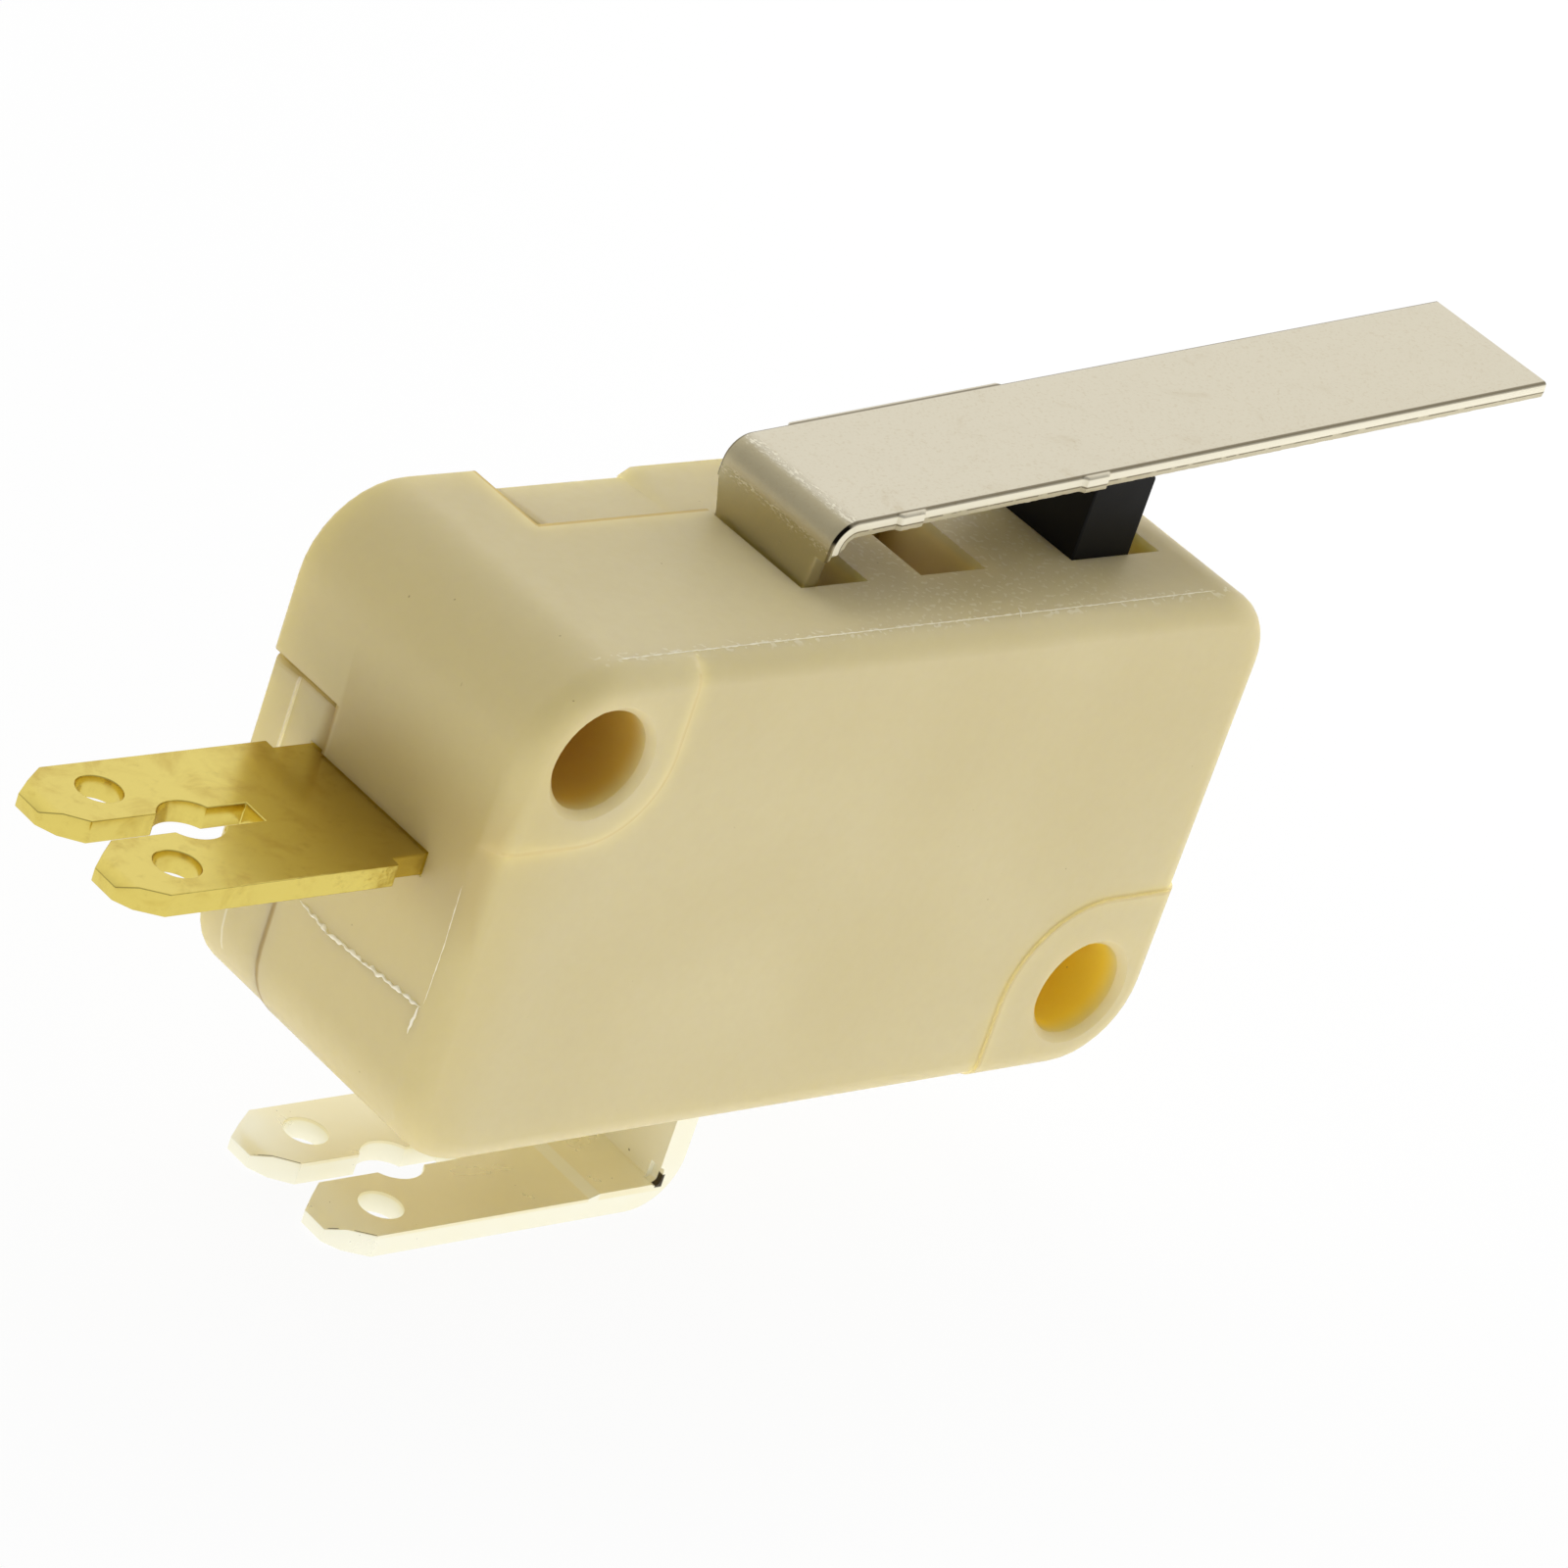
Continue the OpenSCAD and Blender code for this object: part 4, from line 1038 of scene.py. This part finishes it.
# %% One stamped edge
ROLL_W, ROLL_T, ROLL_STEPS = 0.12, 0.09, 3
TEAR, TEAR_STEPS = 0.03, 4
LAND_UP, LAND_WAVE = 0.03, 0.025
BURR, BURR_IN, BURR_WAVE = 0.012, 0.04, 0.015
UNDER_IN = 0.14


def ragged(s, depth, side):
    """Noise of the torn band, about -1 to 1."""
    spot = Vector((s * 4.2, depth * 5.0, side * 7.3))
    return 0.7 * noise.noise(spot) + 0.7 * noise.noise(spot * 2.7)


def edge_points(s, side):
    """One stamped edge from the outer face down, as (inset, depth)."""
    points = []
    for k in range(ROLL_STEPS + 1):
        a = k / ROLL_STEPS * math.pi / 2
        points.append((ROLL_W * (1 - math.sin(a)), ROLL_T * (1 - math.cos(a))))
    points.append((0.0, LAND_T - LAND_UP + LAND_WAVE * ragged(s, 0.0, side)))
    for k in range(1, TEAR_STEPS):
        depth = LAND_T + (STRIP_T - LAND_T) * k / TEAR_STEPS
        points.append((TEAR * (0.5 + 0.5 * ragged(s, depth, side)) * (0.6 + 0.4 * k), depth))
    points.append((BURR_IN + BURR_WAVE * ragged(s, 3.0, side),
                   STRIP_T + BURR * max(0.0, 0.5 + ragged(s, 4.0, side))))
    points.append((UNDER_IN, STRIP_T))
    return [(inset + shoulder_cut(s, depth, side), depth) for inset, depth in points]


print("points on one edge:", len(edge_points(0.0, 1)))

# %% The whole section
TOP_LEFT, TOP_RIGHT = (-0.8, -0.4), (0.0, 0.4, 0.8)


def lever_section(s):
    """The whole section at s, as (across, outward) points in order round it."""
    left, right = half_width(s, -1), half_width(s, 1)
    tall, low = 0.0, -STRIP_T
    past = s - BEAD_S
    if abs(past) < BEAD_R:
        swell = math.sqrt(BEAD_R ** 2 - past ** 2)
        tall = max(0.0, BEAD_OUT + swell) if past < 0 else BEAD_OUT + swell
        low = min(low, BEAD_OUT - swell) if past < 0 else BEAD_OUT - swell
    scale = (tall - low) / STRIP_T
    sides = {}
    for side, half in ((-1, left), (1, right)):
        sides[side] = [(side * (half - inset), tall - depth * scale) for inset, depth in edge_points(s, side)]
    top = [(left * share, tall) for share in TOP_LEFT] + [(right * share, tall) for share in TOP_RIGHT]
    under = [(right * share, low) for share in (0.8, 0.0)] + [(-0.8 * left, low)]
    return top + sides[1] + under + sides[-1][::-1]


print("points round the section:", len(lever_section(0.0)))

# %% Sweep the lever
CREASE = math.radians(38)
FINE_FROM, FINE_STEP, LONG_STEP = 11.0, 0.06, 0.16


def sweep(name, rings):
    """A closed mesh through rings of points, each with the same number of points."""
    bm = bmesh.new()
    loops = [[bm.verts.new(Vector(p) * MM) for p in ring] for ring in rings]
    for first, second in zip(loops, loops[1:]):
        for k in range(len(first)):
            n = (k + 1) % len(first)
            bm.faces.new((first[k], first[n], second[n], second[k]))
    bm.faces.new(loops[0][::-1])
    bm.faces.new(loops[-1])
    bmesh.ops.recalc_face_normals(bm, faces=bm.faces)
    for face in bm.faces:
        face.smooth = True
    mesh = bpy.data.meshes.new(name)
    bm.to_mesh(mesh)
    bm.free()
    mesh.set_sharp_from_angle(angle=CREASE)
    return add_object(name, mesh)


def lever_stations():
    """Distances along the strip: close together where the torn edge is seen best."""
    s, places = 0.0, []
    while s < BEAD_S + BEAD_R * 0.97:
        places.append(s)
        s += FINE_STEP if ARM_L - FINE_FROM < s < SHOULDER_S else LONG_STEP
    return sorted(places + [SHOULDER_S - HAIR, SHOULDER_S + HAIR, BEAD_S, BEAD_S + BEAD_R * 0.98])


def lever_ring(s):
    spot, out, _ = outer_face(s)
    return [(spot.x + n * out.x, across, spot.y + n * out.y) for across, n in lever_section(s)]


lever = sweep("lever_strip", [lever_ring(s) for s in lever_stations()])
lever.data.materials.append(lever_finish)
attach(lever, "lever")
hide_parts("lever")
tally(lever)

# %% [markdown]
# ## Flash
# Where the halves of a mould meet, a little plastic squeezes out and sets as a thin ragged ridge. The case has
# one across its left end and one along the front edge of its top. A bump would stay flat against the light,
# so each is a low ridge swept along a short route, with noise in its height and width. Torn plastic is paler
# than the skin of the mould, so the ridges have a finish of their own.

# %% The finish of the flash
FLASH_PALE, FLASH_WHITE = tone(236, 226, 194), tone(255, 250, 232)


def flash_plastic(name):
    made, shader, place = new_material(name)
    rough = grain(place, 0.12, detail=3.0)
    wire_up(shader, {"Base Color": blend(rough, FLASH_PALE, FLASH_WHITE),
                     "Roughness": 0.3 + rough * 0.25, "Normal": bump(rough, 0.02, 0.6)},
            Specular_IOR_Level=0.4)
    return made


flash_finish = flash_plastic("flash_plastic")
print("finish:", flash_finish.name)

# %% A ragged ridge
FLASH_STEP = 0.07
FLASH_FADE = 5
FLASH_SHAPE = ((-0.5, -0.5), (-0.25, 0.7), (0.05, 1.0), (0.3, 0.6), (0.5, -0.5))


def route_stops(route):
    """Points every FLASH_STEP along a route, each with the way onward."""
    stops = []
    for a, b in zip(route, route[1:]):
        a, b = Vector(a), Vector(b)
        count = max(1, round((b - a).length / FLASH_STEP))
        stops += [(a.lerp(b, i / count), (b - a).normalized()) for i in range(count)]
    return stops + [(Vector(route[-1]), stops[-1][1])]


def flash(name, route, outward, width, height, seed):
    """A ragged ridge along a route on a face that looks outward."""
    out = Vector(outward).normalized()
    stops = route_stops(route)
    rings = []
    for i, (spot, on) in enumerate(stops):
        side = on.cross(out)
        fade = min(1.0, (i + 0.3) / FLASH_FADE, (len(stops) - 0.7 - i) / FLASH_FADE)
        wave = [noise.noise(Vector((i * 0.31, k * 5.1, seed))) for k in range(3)]
        wide = width * fade * (0.7 + 0.9 * wave[0])
        tall = height * fade * (0.5 + 1.4 * abs(wave[1]))
        shift = 0.35 * width * wave[2]
        rings.append([spot + side * (shift + wide * u) + out * (tall * v) for u, v in FLASH_SHAPE])
    piece = sweep(name, rings)
    piece.data.materials.append(flash_finish)
    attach(piece, "case")
    return piece


print("points round a ridge:", len(FLASH_SHAPE))

# %% Ridges of flash
LEFT, UP = (-1, 0, 0), (0, 0, 1)
end_x, top_z = case_low.x, case_high.z
ridges = [
    flash("end_flash", [(end_x, 1.28, 2.18), (end_x, -0.1, 2.05), (end_x, -2.2, 2.18), (end_x, -4.35, 2.36)],
          LEFT, 0.20, 0.06, 1.0),
    flash("end_flash_edge", [(end_x, -4.41, 6.3), (end_x, -4.47, 4.4), (end_x, -4.42, 2.5)],
          LEFT, 0.04, 0.008, 2.0),
    flash("end_flash_curl", [(end_x, -4.3, 2.34), (end_x, -4.22, 1.9), (end_x, -4.19, 1.4)],
          LEFT, 0.20, 0.06, 3.0),
    flash("top_flash", [(-22.2, -4.47, top_z), (-14.4, -4.46, top_z), (-7.4, -4.44, top_z),
                        (0.4, -4.38, top_z)], UP, 0.07, 0.01, 4.0),
    flash("top_flash_tuft", [(-7.45, -4.62, top_z - 0.02), (-7.3, -4.4, top_z), (-7.16, -4.12, top_z)],
          UP, 0.1, 0.07, 5.0)]
print("flash ridges:", [ridge.name for ridge in ridges])

# %% [markdown]
# ## The mechanism inside
# The contacts, the contact arm, the trip lever and the spring already have their true form as solids. New
# copies would add nothing that can be seen, so they stay as they are and only take their metal.

# %% Dress the mechanism
inside = {"fixed_contact": "contact_silver", "moving_contact": "contact_silver", "contact_arm": "copper_strip",
          "trip_lever": "spring_wire", "coil_spring": "spring_wire"}
for node, metal in inside.items():
    frame["nodes"][node].material_slots[0].material = inner_finish[metal]
print("mechanism pieces:", len(inside))

# %% [markdown]
# ## The end
# The Standard view shows colours as they are written.

# %% Set the view
bpy.context.scene.view_settings.view_transform = "Standard"
